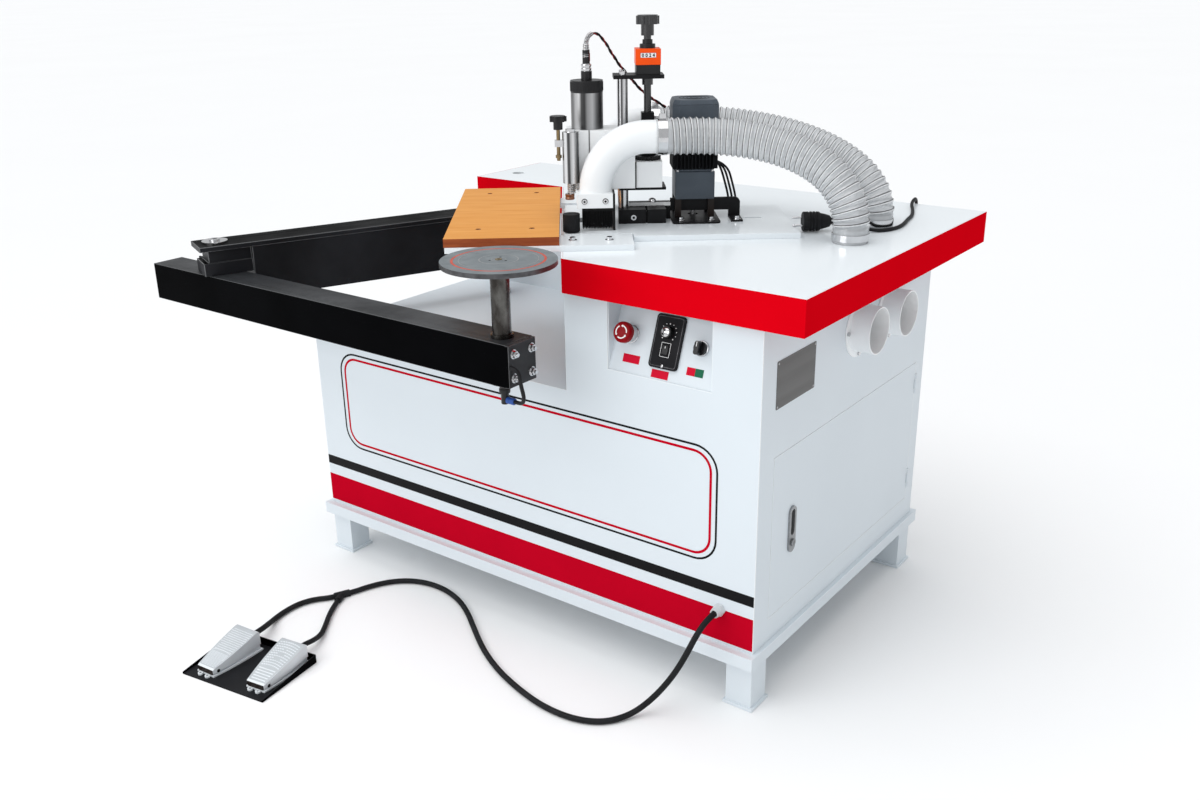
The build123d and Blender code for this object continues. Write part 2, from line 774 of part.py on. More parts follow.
with BuildPart() as lower_cutter:
    head_rod(*spindle_axis, wall_top - 28, 916, 8)
    head_rod(*spindle_axis, wall_top + 0.5, 906, 14)
    with BuildSketch(head_plane(906)):
        with Locations(spindle_axis):
            Rectangle(30, 6)
    extrude(amount=15)
save(lower_cutter, "lower_cutter")

# Tracer: a chrome sleeve on the carriage's face, its rod and copper roller
with BuildPart() as tracer_unit:
    head_rod(25, 246, 1008, 1117, 18)
    head_box(18, 32, 256, 266, 1030, 1090)
    head_rod(25, 246, 984, 1008, 6)
    head_rod(21, 246, 972, 984, 9)
    head_rod(25, 246, 1117, 1123, 11)
    head_box(-9, 12, 239, 253, 1086, 1100)
    head_rod(-1, 246, 1086, 1100, 4 + running_gap, mode=Mode.SUBTRACT)
save(tracer_unit, "tracer_unit")

with BuildPart() as tracer_knob:
    head_rod(-1, 246, 1056, 1126, 4)
    head_rod(-1, 246, 1062, 1068, 6.5)
    head_rod(-1, 246, 1122, 1139, 10)
    head_rod(-1, 246, 1139, 1151, 16)
    with BuildSketch(head_plane(1139)):
        with Locations((-1, 246)):
            with PolarLocations(15, 7):
                Circle(4)
    extrude(amount=11)
save(tracer_knob, "tracer_knob")

# Dust elbows: a square hood collar with a bent pipe, front and rear
outlet_u = 236
for name, u, v, bend in zip(("dust_elbow_front", "dust_elbow_rear"), elbow_u, elbow_v, elbow_bends):
    with BuildPart() as dust_elbow:
        head_box(u - 41, u + 36, v - 38, v + 38, 962, 993)
        with BuildLine() as pipe_line:
            rise = Line(head_point(u, v, 985), head_point(u, v, elbow_level - bend))
            turn = TangentArc(rise @ 1, head_point(u + bend, v, elbow_level), tangent=(0, 0, 1))
            Line(turn @ 1, head_point(outlet_u, v, elbow_level))
        with BuildSketch(head_plane(985)):
            with Locations((u, v)):
                Circle(elbow_radius)
        sweep(path=pipe_line.wires()[0])
        with BuildLine() as bore_line:
            rise = Line(head_point(u, v, 962), head_point(u, v, elbow_level - bend))
            turn = TangentArc(rise @ 1, head_point(u + bend, v, elbow_level), tangent=(0, 0, 1))
            Line(turn @ 1, head_point(outlet_u, v, elbow_level))
        with BuildSketch(head_plane(962)):
            with Locations((u, v)):
                Circle(elbow_bore_radius)
        sweep(path=bore_line.wires()[0], mode=Mode.SUBTRACT)
    save(dust_elbow, name)

# Brush under the front hood: strands in a slice of backing
brush_rows = 6
brush_columns = 62
with BuildPart() as dust_brush:
    head_box(46, 113, 189, 201, 956, 962)
    for row in range(brush_rows):
        spots = []
        for column in range(brush_columns):
            shift = 0.45 * math.sin(column * 2.399 + row * 1.7)
            spots.append((47.2 + 64.6 * column / (brush_columns - 1) + 0.3 * shift, 190.2 + 1.9 * row + shift))
        with BuildSketch(head_plane(957)):
            with Locations(*spots):
                RegularPolygon(0.34, 3)
        extrude(amount=-41)
save(dust_brush, "dust_brush")

# Hoses with ribs and their bores
hose_ends = (
    ((207, elbow_v[0], elbow_level), (*duct_spots[0], table_height + 0.5), 70, 30, 200, 130),
    ((207, elbow_v[1], elbow_level), (*duct_spots[1], table_height + 0.5), 70, 30, 240, 120),
)
cuff = 30
chunk = 40
for name, (start, base, lead, tail, pull_start, pull_end) in zip(("hose_front", "hose_rear"), hose_ends):
    quarter = hose_planes(hose_stations(start, base, lead, tail, pull_start, pull_end, hose_rib_pitch / 4))
    bore = hose_planes(hose_stations(start, base, lead, tail, pull_start, pull_end, hose_rib_pitch))
    plain = round(cuff / (hose_rib_pitch / 4))
    ribs = (len(quarter) - 2 * plain - 2) // 4
    outside = [(quarter[0], hose_cuff_radius)]
    for index in range(plain, plain + 4 * ribs + 1):
        crest = index < plain + 4 * ribs and (index - plain) % 4 in (1, 2)
        outside.append((quarter[index], hose_rib_radius if crest else hose_cuff_radius))
    outside.append((quarter[-1 - plain], hose_cuff_radius))
    outside.append((quarter[-1], hose_cuff_radius))
    with BuildPart() as hose:
        for first in range(0, len(outside) - 1, chunk):
            for plane, radius in outside[first : first + chunk + 1]:
                with BuildSketch(plane):
                    Circle(radius)
            loft(ruled=True)
        for first in range(0, len(bore) - 1, chunk // 2):
            for plane in bore[first : first + chunk // 2 + 1]:
                with BuildSketch(plane):
                    Circle(hose_bores)
            loft(ruled=True, mode=Mode.SUBTRACT)
    print(name, "ribs", ribs, "volume", round(hose.part.volume), "valid", hose.part.is_valid)
    save(hose, name)

# Feed motor with gearbox, its stand, and the belt drive under the table
motor_u, motor_v = motor_axis
with BuildPart() as feed_motor:
    head_box(motor_u - 44, motor_u + 44, motor_v - 44, motor_v + 44, motor_low, motor_low + 61)
    head_box(motor_u - 40, motor_u + 40, motor_v - 40, motor_v + 40, motor_low + 61, motor_low + 65)
    head_box(motor_u - 51, motor_u + 51, motor_v - 51, motor_v + 51, motor_low + 65, motor_low + 168)
    with BuildSketch(head_plane(motor_low + 168)):
        with Locations(motor_axis):
            Rectangle(104, 104)
    extrude(amount=38)
    with BuildSketch(head_plane(motor_low + 206)):
        with Locations(motor_axis):
            RectangleRounded(104, 104, 8)
    extrude(amount=11, taper=30)
    head_rod(*motor_axis, motor_low, motor_low + 32, 7 + running_gap, mode=Mode.SUBTRACT)
save(feed_motor, "feed_motor")

with BuildPart() as motor_stand:
    with BuildSketch(head_plane(plate_top)):
        with Locations((motor_u, motor_v - 25.5)):
            RectangleRounded(106, 139, 10)
            with Locations((0, 25.5)):
                Circle(12, mode=Mode.SUBTRACT)
    extrude(amount=4)
    for u in (motor_u - 37, motor_u + 37):
        head_box(u - 7, u + 7, motor_v - 39, motor_v - 29, plate_top, motor_low)
        head_box(u - 7, u + 7, motor_v + 29, motor_v + 39, plate_top, motor_low)
save(motor_stand, "motor_stand")

with BuildPart() as feed_pulley:
    head_rod(*motor_axis, 856, motor_low + 28, 7)
    head_rod(*motor_axis, 860, 880, pulley_radius)
save(feed_pulley, "feed_pulley")

with BuildPart() as feed_roller:
    head_rod(*roller_axis, 856, 914, 7)
    head_rod(*roller_axis, 860, 880, pulley_radius)
    head_rod(*roller_axis, 914, 952, 18)
save(feed_roller, "feed_roller")

belt_turn = math.degrees(math.atan2(roller_axis[1] - motor_v, roller_axis[0] - motor_u))
belt_reach = math.dist(roller_axis, motor_axis)
with BuildPart() as feed_belt:
    with BuildSketch(head_plane(863)):
        with Locations(((roller_axis[0] + motor_u) / 2, (roller_axis[1] + motor_v) / 2)):
            SlotCenterToCenter(belt_reach, 2 * (pulley_radius + 2.3), rotation=belt_turn)
            SlotCenterToCenter(belt_reach, 2 * (pulley_radius + 0.3), rotation=belt_turn, mode=Mode.SUBTRACT)
    extrude(amount=14)
save(feed_belt, "feed_belt")

# Arm frames
shoulder = from_corner(*shoulder_spot)
elbow = from_corner(*elbow_spot)
disc_axis = from_corner(*disc_spot)
upper_turn = math.degrees(math.atan2(elbow[1] - shoulder[1], elbow[0] - shoulder[0]))
upper_reach = math.dist(shoulder, elbow)
forearm_turn = math.degrees(math.atan2(disc_axis[1] - elbow[1], disc_axis[0] - elbow[0]))
forearm_reach = math.dist(elbow, disc_axis)

# Shoulder post on the deck
with BuildPart() as shoulder_post:
    with Locations((*shoulder, deck_height)):
        Cylinder(27, 10, align=ON_BASE)
        Cylinder(24, upper_low - 0.4 - deck_height, align=ON_BASE)
        Cylinder(shoulder_pin_radius, upper_high + 2 - deck_height, align=ON_BASE)
        with Locations((0, 0, upper_high + 0.4 - deck_height)):
            Cylinder(32, 6, align=ON_BASE)
            Cylinder(15, 14, align=ON_BASE)
save(shoulder_post, "shoulder_post")

# Upper arm: a closed tube with a lug plate over the elbow and a block under it
tube_end = upper_reach - upper_tube_short
with BuildPart() as upper_arm:
    with BuildSketch(turned_plane(shoulder, upper_turn, upper_low)):
        with Locations(((tube_end - 58) / 2, 0)):
            Rectangle(tube_end + 58, upper_width)
    extrude(amount=upper_high - upper_low - lug_thickness)
    with BuildSketch(turned_plane(shoulder, upper_turn, upper_low + arm_wall)):
        with Locations(((tube_end + 34) / 2, 0)):
            Rectangle(tube_end - 46, upper_width - 2 * arm_wall)
    extrude(amount=upper_high - upper_low - lug_thickness - arm_wall, mode=Mode.SUBTRACT)
    with BuildSketch(turned_plane(shoulder, upper_turn, upper_high - lug_thickness)):
        with Locations(((upper_reach + 46 - 58) / 2, 0)):
            Rectangle(upper_reach + 46 + 58, upper_width + 4)
    extrude(amount=lug_thickness)
    with BuildSketch(turned_plane(shoulder, upper_turn, forearm_high + 0.5)):
        with Locations((upper_reach - upper_tube_short / 2 + 19.5, 0)):
            Rectangle(upper_tube_short + 39, 78)
    extrude(amount=30)
    with BuildSketch(turned_plane(shoulder, upper_turn, forearm_high + 30)):
        with Locations((upper_reach - upper_tube_short / 2 + 13, 0)):
            Rectangle(upper_tube_short + 26, 66)
    extrude(amount=upper_high - lug_thickness - forearm_high - 30)
    with BuildSketch(turned_plane(elbow, upper_turn, forearm_high)):
        Circle(elbow_pin_radius + running_gap)
    extrude(amount=upper_high - forearm_high, mode=Mode.SUBTRACT)
    with BuildSketch(turned_plane(shoulder, upper_turn, upper_low)):
        Circle(shoulder_pin_radius + running_gap)
    extrude(amount=upper_high - upper_low, mode=Mode.SUBTRACT)
save(upper_arm, "upper_arm")

# Forearm: a closed tube with an end plate and a flange under the post
tube_front = forearm_reach + forearm_front
with BuildPart() as forearm:
    with BuildSketch(turned_plane(elbow, forearm_turn, forearm_low)):
        with Locations(((tube_front - forearm_back) / 2, 0)):
            Rectangle(tube_front + forearm_back, forearm_width)
    extrude(amount=forearm_high - forearm_low)
    with BuildSketch(turned_plane(elbow, forearm_turn, forearm_low + arm_wall)):
        with Locations((forearm_reach / 2, 0)):
            Rectangle(forearm_reach - 90, forearm_width - 2 * arm_wall)
        with Locations((-forearm_back / 2 - 18, 0)):
            Rectangle(forearm_back - 46, forearm_width - 2 * arm_wall)
    extrude(amount=forearm_high - forearm_low - 2 * arm_wall, mode=Mode.SUBTRACT)
    with BuildSketch(turned_plane(elbow, forearm_turn, forearm_low + 1)):
        with Locations((tube_front + 4, 0)):
            Rectangle(8, forearm_width)
    extrude(amount=forearm_high - forearm_low - 2)
    with BuildSketch(turned_plane(disc_axis, forearm_turn, forearm_low - 7)):
        Circle(27)
    extrude(amount=7)
    with BuildSketch(turned_plane(elbow, forearm_turn, forearm_high)):
        with Locations((-118, 36)):
            Rectangle(14, 4)
    extrude(amount=15)
    with BuildSketch(turned_plane(disc_axis, forearm_turn, forearm_low - 7)):
        Circle(disc_post_radius + running_gap)
    extrude(amount=forearm_high - forearm_low + 7, mode=Mode.SUBTRACT)
    with BuildSketch(turned_plane(elbow, forearm_turn, forearm_low)):
        Circle(elbow_pin_radius)
    extrude(amount=forearm_high - forearm_low, mode=Mode.SUBTRACT)
save(forearm, "forearm")

# Elbow pin with its washer, and the end plate's bolts
forearm_floor = turned_plane(elbow, forearm_turn, 0)
end_plane = Plane(
    origin=forearm_floor.from_local_coords((tube_front + 8, 0, (forearm_low + forearm_high) / 2)),
    x_dir=forearm_floor.y_dir,
    z_dir=forearm_floor.x_dir,
)
with BuildPart() as forearm_fasteners:
    with Locations((*elbow, forearm_low)):
        Cylinder(elbow_pin_radius, upper_high + 0.4 - forearm_low, align=ON_BASE)
    with Locations((*elbow, upper_high + 0.4)):
        Cylinder(30, 4, align=ON_BASE)
        Cylinder(13, 8, align=ON_BASE)
        with Locations((0, 0, 5)):
            Cylinder(6, 4, align=ON_BASE, mode=Mode.SUBTRACT)
    with BuildSketch(end_plane):
        with GridLocations(52, 49, 2, 2):
            Circle(9.5)
    extrude(amount=2)
    with BuildSketch(end_plane.offset(2)):
        with GridLocations(52, 49, 2, 2):
            RegularPolygon(7.5, 6)
    extrude(amount=6)
    with BuildSketch(end_plane.offset(8)):
        with GridLocations(52, 49, 2, 2):
            Circle(4)
    extrude(amount=5)
save(forearm_fasteners, "forearm_fasteners")

# Suction disc on its turning post
with BuildPart() as suction_disc:
    with Locations((*disc_axis, disc_top - disc_thickness)):
        Cylinder(disc_radius, disc_thickness, align=ON_BASE)
    with Locations((*disc_axis, forearm_low - 8)):
        Cylinder(disc_post_radius, disc_top - disc_thickness + 8 - forearm_low, align=ON_BASE)
    with Locations((*disc_axis, forearm_high + 0.4)):
        Cylinder(23, 7, align=ON_BASE)
    with Locations((*disc_axis, disc_top - disc_thickness - 10)):
        Cylinder(30, 10, align=ON_BASE)
    with BuildSketch(Plane.XY.offset(disc_top)):
        with Locations(disc_axis):
            Circle(92)
            Circle(87, mode=Mode.SUBTRACT)
            Circle(5)
            with PolarLocations(18, 3):
                Circle(2.5)
    extrude(amount=-1.5, mode=Mode.SUBTRACT)
save(suction_disc, "suction_disc")

# Vacuum fitting under the post, with its hose loop to the end plate
fitting_plane = turned_plane(elbow, forearm_turn, 0)
loop_local = [
    (tube_front + 8.8, -35, 731),
    (tube_front + 28, -35, 731),
    (tube_front + 29, -31, 697),
    (tube_front + 25, -18, 667),
    (tube_front + 9, -6, 648),
    (forearm_reach + 26, 0, 645),
]
loop_points = [tuple(fitting_plane.from_local_coords(point)) for point in loop_local]
loop_radii = bend_radii(loop_points, {})
with BuildPart() as vacuum_fitting:
    with Locations((*disc_axis, 660)):
        Cylinder(11, forearm_low - 8.6 - 660, align=ON_BASE)
    with Locations((*disc_axis, 636)):
        Cylinder(8, 26, align=ON_BASE)
    collar_start = fitting_plane.from_local_coords((forearm_reach, 0, 645))
    with BuildSketch(Plane(origin=collar_start, z_dir=fitting_plane.x_dir)):
        Circle(7)
    extrude(amount=26)
    with BuildLine() as loop_line:
        FilletPolyline(*loop_points, radius=loop_radii)
    with BuildSketch(Plane(origin=loop_line.line @ 0, z_dir=loop_line.line % 0)):
        Circle(4)
    sweep(path=loop_line.wires()[0])
save(vacuum_fitting, "vacuum_fitting")

# Pedal tray with three raised edges
tray_plane = turned_plane(from_corner(*tray_corner), tray_turn, 0)
with BuildPart() as pedal_tray:
    with BuildSketch(tray_plane):
        with Locations((tray_width / 2, tray_depth / 2)):
            Rectangle(tray_width, tray_depth)
    extrude(amount=2)
    with BuildSketch(tray_plane.offset(2)):
        with Locations((tray_width / 2, tray_depth - 1)):
            Rectangle(tray_width, 2)
    extrude(amount=tray_rim - 2)
    for side in (0, tray_width - 2):
        rim_start = tray_plane.from_local_coords((side, 0, 0))
        rim_plane = Plane(origin=rim_start, x_dir=tray_plane.y_dir, z_dir=tray_plane.x_dir)
        with BuildSketch(rim_plane):
            Polygon((0, 0), (tray_depth, 0), (tray_depth, tray_rim), (0, tray_front_rim), align=None)
        extrude(amount=2)
save(pedal_tray, "pedal_tray")

# Pedal shapes: a wedge for the treadle, and a smaller one inside it for the base
half_front = pedal_front_width / 2
half_rear = pedal_rear_width / 2
pivot_y, pivot_z = pedal_pivot


def pedal_outline(grow, front, rear):
    """The pedal's outline with full sides, grown or drawn in."""
    side = []
    for share in (0, 0.25, 0.5, 0.75, 1):
        half = half_front + (half_rear - half_front) * share + 4 * pedal_bulge * share * (1 - share)
        side.append((half + grow, front if share == 0 else rear if share == 1 else pedal_length * share))
    return side + [(-x, y) for x, y in reversed(side)]


pedal_planes = [turned_plane(from_corner(*front), turn, 0) for front, turn in pedal_fronts]
base_solids = []
for name, plane in zip(("pedal_left", "pedal_right"), pedal_planes):
    side_plane = Plane(origin=plane.origin, x_dir=plane.y_dir, z_dir=plane.x_dir)
    with BuildPart() as cavity:
        with BuildSketch(plane):
            Polygon(*pedal_outline(-3, 3, pedal_length + 5), align=None)
        extrude(amount=60)
        with BuildSketch(side_plane):
            Polygon((3, 0), (3, 17), (124, 48), (pedal_length + 5, 48), (pedal_length + 5, 0), align=None)
        extrude(amount=60, both=True, mode=Mode.INTERSECT)
    with BuildPart() as treadle:
        with BuildSketch(plane):
            Polygon(*pedal_outline(0, 0, pedal_length), align=None)
        extrude(amount=60)
        with BuildSketch(side_plane):
            Polygon(
                (0, 7.5),
                (0, 18.5),
                (5, 21),
                (120, 51),
                (126, 51.5),
                (pedal_length, 48),
                (pedal_length, 18.5),
                (14, 7.5),
                align=None,
            )
        extrude(amount=60, both=True, mode=Mode.INTERSECT)
        add(cavity.part, mode=Mode.SUBTRACT)
        with BuildSketch(side_plane):
            with Locations((pivot_y, pivot_z)):
                Circle(2.5 + running_gap)
        extrude(amount=60, both=True, mode=Mode.SUBTRACT)
    save(treadle, name)
    with BuildPart() as pedal_base:
        with BuildSketch(plane):
            Polygon(*pedal_outline(-4.2, 4.2, pedal_length), align=None)
        extrude(amount=60)
        with BuildSketch(side_plane):
            Polygon((0, 2), (0, 14), (20, 17), (124, 35.5), (pedal_length, 35.5), (pedal_length, 2), align=None)
        extrude(amount=60, both=True, mode=Mode.INTERSECT)
        with BuildSketch(plane.offset(2)):
            Polygon(*pedal_outline(2, -1, pedal_length + 3), align=None)
            with Locations((-11, -5), (11, -5)):
                Circle(6)
                Circle(3, mode=Mode.SUBTRACT)
        extrude(amount=4)
        with BuildSketch(side_plane):
            with Locations((pivot_y, pivot_z)):
                Circle(2.5)
        extrude(amount=half_front + 2, both=True)
        with BuildSketch(Plane(origin=plane.from_local_coords((0, pedal_length, 27)), z_dir=plane.y_dir)):
            Circle(cord_radius + 0.5)
        extrude(amount=-16, mode=Mode.SUBTRACT)
    base_solids.append(pedal_base.part)

with BuildPart() as pedal_bases:
    for solid in base_solids:
        add(solid)
save(pedal_bases, "pedal_bases")

# Pedal cord: from the front gland, over the floor, to the left pedal
cord_spots = [
    (-79, -12, 215),
    (-79, -48, 215),
    (-86, -77, 191),
    (-99, -98, 146),
    (-118, -112, 102),
    (-142, -123, 62),
    (-167, -137, 28),
    (-188, -164, 9),
    (-211, -204, 6.7),
    (-244, -229, 6.7),
    (-285, -242, 6.7),
    (-331, -245, 6.7),
    (-382, -240, 6.7),
    (-446, -224, 6.7),
    (-511, -202, 6.7),
    (-572, -173, 6.7),
    (-625, -141, 6.7),
    (-680, -102, 6.7),
    (-737, -61, 6.7),
    (-791, -31, 6.7),
    (-855, -12, 6.7),
    (-917, -13, 6.7),
    (-967, -33, 6.7),
    (-1003, -68, 6.7),
    (-1025, -112, 6.7),
    (-1036, -150, 6.7),
    (-1062, -205, 6.7),
    (-1086, -230, 6.7),
    (-1100, -260, 6.7),
    (-1103, -293, 6.7),
    (-1099, -328, 6.7),
    (-1088, -360, 9),
    (-1066, -391, 21),
    (-1054, -430, 27.6),
    (-1047.9, -462, 27),
]
left_plane, right_plane = pedal_planes
cord_points = [(*from_corner(x, y), z) for x, y, z in cord_spots]
cord_points[-1] = tuple(left_plane.from_local_coords((0, pedal_length - 12, 27)))
cord_points[-2] = tuple(left_plane.from_local_coords((0, pedal_length + 30, 27)))
cord_bends = bend_radii(cord_points, {25: 60, 26: 60})
with BuildPart() as pedal_cord:
    with BuildLine() as cord_line:
        FilletPolyline(*cord_points, radius=cord_bends)
    with BuildSketch(Plane(origin=cord_line.line @ 0, z_dir=cord_line.line % 0)):
        Circle(cord_radius)
    sweep(path=cord_line.wires()[0])
report_cord("pedal_cord", pedal_cord, cord_points, cord_bends, cord_radius)
save(pedal_cord, "pedal_cord")

# Branch to the right pedal, and the splitter where it leaves the cord
split_centre = Vector(*[(a + b) / 2 for a, b in zip(cord_points[25], cord_points[26])])
trunk_axis = (Vector(*cord_points[26]) - Vector(*cord_points[25])).normalized()
branch_axis = trunk_axis.rotate(Axis.Z, 52)
branch_points = [
    tuple(split_centre + branch_axis * 18),
    tuple(split_centre + branch_axis * 46),
    (*from_corner(-1005, -256), 6.7),
    (*from_corner(-975, -294), 6.7),
    (*from_corner(-948, -330), 8),
    (*from_corner(-930, -366), 18),
    tuple(right_plane.from_local_coords((0, pedal_length + 18, 27))),
    tuple(right_plane.from_local_coords((0, pedal_length - 12, 27))),
]
branch_bends = bend_radii(branch_points, {})
with BuildPart() as pedal_branch:
    with BuildLine() as branch_line:
        FilletPolyline(*branch_points, radius=branch_bends)
    with BuildSketch(Plane(origin=branch_line.line @ 0, z_dir=branch_line.line % 0)):
        Circle(branch_radius)
    sweep(path=branch_line.wires()[0])
report_cord("pedal_branch", pedal_branch, branch_points, branch_bends, branch_radius)
save(pedal_branch, "pedal_branch")

with BuildPart() as cord_splitter:
    with BuildSketch(Plane(origin=split_centre - trunk_axis * 19, z_dir=trunk_axis)):
        Circle(9)
    extrude(amount=38)
    with BuildSketch(Plane(origin=split_centre, z_dir=branch_axis)):
        Circle(8.6)
    extrude(amount=30)
    with BuildSketch(Plane(origin=split_centre - trunk_axis * 25, z_dir=trunk_axis)):
        Circle(cord_radius + 0.1)
    extrude(amount=50, mode=Mode.SUBTRACT)
    with BuildSketch(Plane(origin=split_centre + branch_axis * 17.9, z_dir=branch_axis)):
        Circle(branch_radius + 0.1)
    extrude(amount=20, mode=Mode.SUBTRACT)
    with Locations((split_centre.X, split_centre.Y, 0.2)):
        Box(120, 120, 40, align=ON_BASE, mode=Mode.INTERSECT)
save(cord_splitter, "cord_splitter")

# Mains cord: from the rear gland, hanging behind the cabinet, over the table's rear edge to the plug
mains_spots = [
    (-420, 808, 500),
    (-420, 848, 500),
    (-418, 888, 476),
    (-412, 912, 420),
    (-402, 924, 350),
    (-382, 930, 280),
    (-346, 932, 218),
    (-294, 933, 176),
    (-232, 933, 164),
    (-176, 932, 188),
    (-138, 930, 244),
    (-116, 927, 322),
    (-105, 923, 412),
    (-99, 918, 512),
    (-96, 914, 622),
    (-94, 910, 736),
    (-92, 907, 834),
    (-88, 905, 915),
    (-76, 838, 911),
    (-50, 788, 904.3),
    (-30, 735, 904.2),
]
mains_points = [(*from_corner(x, y), z) for x, y, z in mains_spots]
for u, v, z in (
    (780, 284, 904.2),
    (758, 236, 904.2),
    (736, 202, 904.2),
    (709, 180, 904.2),
    (680, 172, 904.6),
    (652, 180, 909),
    (624, 192, 917),
    (592, 200, 922),
):
    mains_points.append(head_point(u, v, z))
mains_bends = bend_radii(mains_points, {})
with BuildPart() as mains_cord:
    with BuildLine() as mains_line:
        FilletPolyline(*mains_points, radius=mains_bends)
    with BuildSketch(Plane(origin=mains_line.line @ 0, z_dir=mains_line.line % 0)):
        Circle(mains_radius)
    sweep(path=mains_line.wires()[0])
report_cord("mains_cord", mains_cord, mains_points, mains_bends, mains_radius)
save(mains_cord, "mains_cord")

# Mains plug lying on the table
plug_plane = Plane(origin=head_point(525, 200, 922), x_dir=head_plane(0).y_dir, z_dir=head_plane(0).x_dir)
tail_axis = (Vector(*mains_points[-2]) - Vector(*mains_points[-1])).normalized()
with BuildPart() as mains_plug:
    with BuildSketch(plug_plane):
        Circle(21.6)
    extrude(amount=36)
    with BuildSketch(plug_plane.offset(36)):
        Circle(18)
    extrude(amount=28, taper=14)
    with BuildSketch(plug_plane):
        with PolarLocations(9.5, 2, start_angle=50):
            Circle(2.4)
    extrude(amount=-22)
    with BuildSketch(Plane(origin=mains_points[-1], z_dir=tail_axis)):
        Circle(mains_radius + 0.1)
    extrude(amount=30, mode=Mode.SUBTRACT)
save(mains_plug, "mains_plug")

# Spindle cable: from the gland, over the bracket's rear and down behind the feed motor
cable_local = [
    (spindle_axis[0], spindle_axis[1], 1282.5),
    (spindle_axis[0], spindle_axis[1], 1299),
    (spindle_axis[0] + 10, spindle_axis[1] + 11, 1314),
    (spindle_axis[0] + 29, spindle_axis[1] + 30, 1311),
    (spindle_axis[0] + 46, spindle_axis[1] + 42, 1288),
    (spindle_axis[0] + 64, spindle_axis[1] + 50, 1257),
    (spindle_axis[0] + 88, spindle_axis[1] + 54, 1226),
    (spindle_axis[0] + 122, spindle_axis[1] + 52, 1188),
    (spindle_axis[0] + 152, spindle_axis[1] + 48, 1166),
    (spindle_axis[0] + 176, spindle_axis[1] + 44, 1152),
]
cable_points = [head_point(*point) for point in cable_local]
cable_bends = bend_radii(cable_points, {})
with BuildPart() as spindle_cable:
    with BuildLine() as cable_line:
        FilletPolyline(*cable_points, radius=cable_bends)
    with BuildSketch(Plane(origin=cable_line.line @ 0, z_dir=cable_line.line % 0)):
        Circle(3.4)
    sweep(path=cable_line.wires()[0])
report_cord("spindle_cable", spindle_cable, cable_points, cable_bends, 3.4)
save(spindle_cable, "spindle_cable")

# Screws and bolts that show, and the hoses' clamps
with BuildPart() as fasteners:
    for spot in board_screws:
        head_rod(*spot, disc_top - 4, disc_top - 1, 5.4)
    for spot in ((24.8, 107.5), (101.7, 104.5)):
        head_rod(*spot, plate_top, plate_top + 1.5, 9)
        head_rod(*spot, plate_top + 1.5, plate_top + 7, 6)
    for u in (motor_u - 33.5, motor_u + 33.5):
        head_rod(u, motor_v - 75, plate_top + 4, plate_top + 5.5, 8)
        head_rod(u, motor_v - 75, plate_top + 5.5, plate_top + 12, 5.5)
    head_rod(391, 268, plate_top + 4, plate_top + 5.5, 9)
    head_rod(391, 268, plate_top + 5.5, plate_top + 12, 5.5)
    for spot in column_spots:
        head_rod(*spot, 1229, 1236, 7)
    along = head_plane(0).x_dir
    outward = head_plane(0).y_dir * -1
    with BuildSketch(Plane(origin=head_point(74.5, elbow_v[0] - 38, 977), x_dir=along, z_dir=outward)):
        with Locations((-22.5, 0), (22.5, 0)):
            Circle(5)
    extrude(amount=3)
    with BuildSketch(Plane(origin=head_point(161, 259, 926), x_dir=along, z_dir=outward)):
        Circle(6)
    extrude(amount=3)
    for y in port_y:
        with BuildSketch(Plane.YZ.offset(half_length + 3)):
            with Locations((from_corner(0, y)[1], port_height)):
                with PolarLocations(57.5, 4):
                    Circle(4.5)
        extrude(amount=4)
    for v in elbow_v:
        level = Plane(origin=head_point(211, v, elbow_level), x_dir=head_plane(0).y_dir, z_dir=head_plane(0).x_dir)
        with BuildSketch(level):
            Circle(hose_cuff_radius + 1.7)
            Circle(hose_cuff_radius + 0.1, mode=Mode.SUBTRACT)
        extrude(amount=20)
        with BuildSketch(level.offset(3)):
            with Locations((0, 43)):
                Rectangle(16, 9)
        extrude(amount=14)
    for spot in duct_spots:
        with BuildSketch(head_plane(table_height + 6)):
            with Locations(spot):
                Circle(hose_cuff_radius + 1.7)
                Circle(hose_cuff_radius + 0.1, mode=Mode.SUBTRACT)
        extrude(amount=14)
save(fasteners, "fasteners")
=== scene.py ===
"""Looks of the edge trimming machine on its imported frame."""

import math

import bmesh
import bpy
from mathutils import Matrix, Vector


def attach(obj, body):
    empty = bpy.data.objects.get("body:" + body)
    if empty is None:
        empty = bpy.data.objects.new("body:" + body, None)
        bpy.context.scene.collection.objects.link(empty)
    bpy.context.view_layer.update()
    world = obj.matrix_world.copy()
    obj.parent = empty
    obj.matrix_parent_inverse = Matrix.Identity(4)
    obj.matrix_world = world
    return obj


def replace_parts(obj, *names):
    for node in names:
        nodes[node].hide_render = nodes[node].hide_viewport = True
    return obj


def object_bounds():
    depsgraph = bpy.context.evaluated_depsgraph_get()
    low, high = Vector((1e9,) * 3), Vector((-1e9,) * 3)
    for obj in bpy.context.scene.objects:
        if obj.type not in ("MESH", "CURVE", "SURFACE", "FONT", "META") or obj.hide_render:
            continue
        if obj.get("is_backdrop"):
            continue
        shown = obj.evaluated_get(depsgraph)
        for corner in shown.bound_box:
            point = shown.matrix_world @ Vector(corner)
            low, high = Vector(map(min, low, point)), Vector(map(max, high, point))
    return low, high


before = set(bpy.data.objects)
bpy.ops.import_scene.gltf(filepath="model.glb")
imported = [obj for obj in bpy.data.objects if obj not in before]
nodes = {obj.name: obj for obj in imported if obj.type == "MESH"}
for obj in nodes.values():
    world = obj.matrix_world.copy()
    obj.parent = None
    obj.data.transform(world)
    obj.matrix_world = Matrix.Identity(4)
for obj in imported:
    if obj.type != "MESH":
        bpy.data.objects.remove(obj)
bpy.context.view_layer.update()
scene = bpy.context.scene


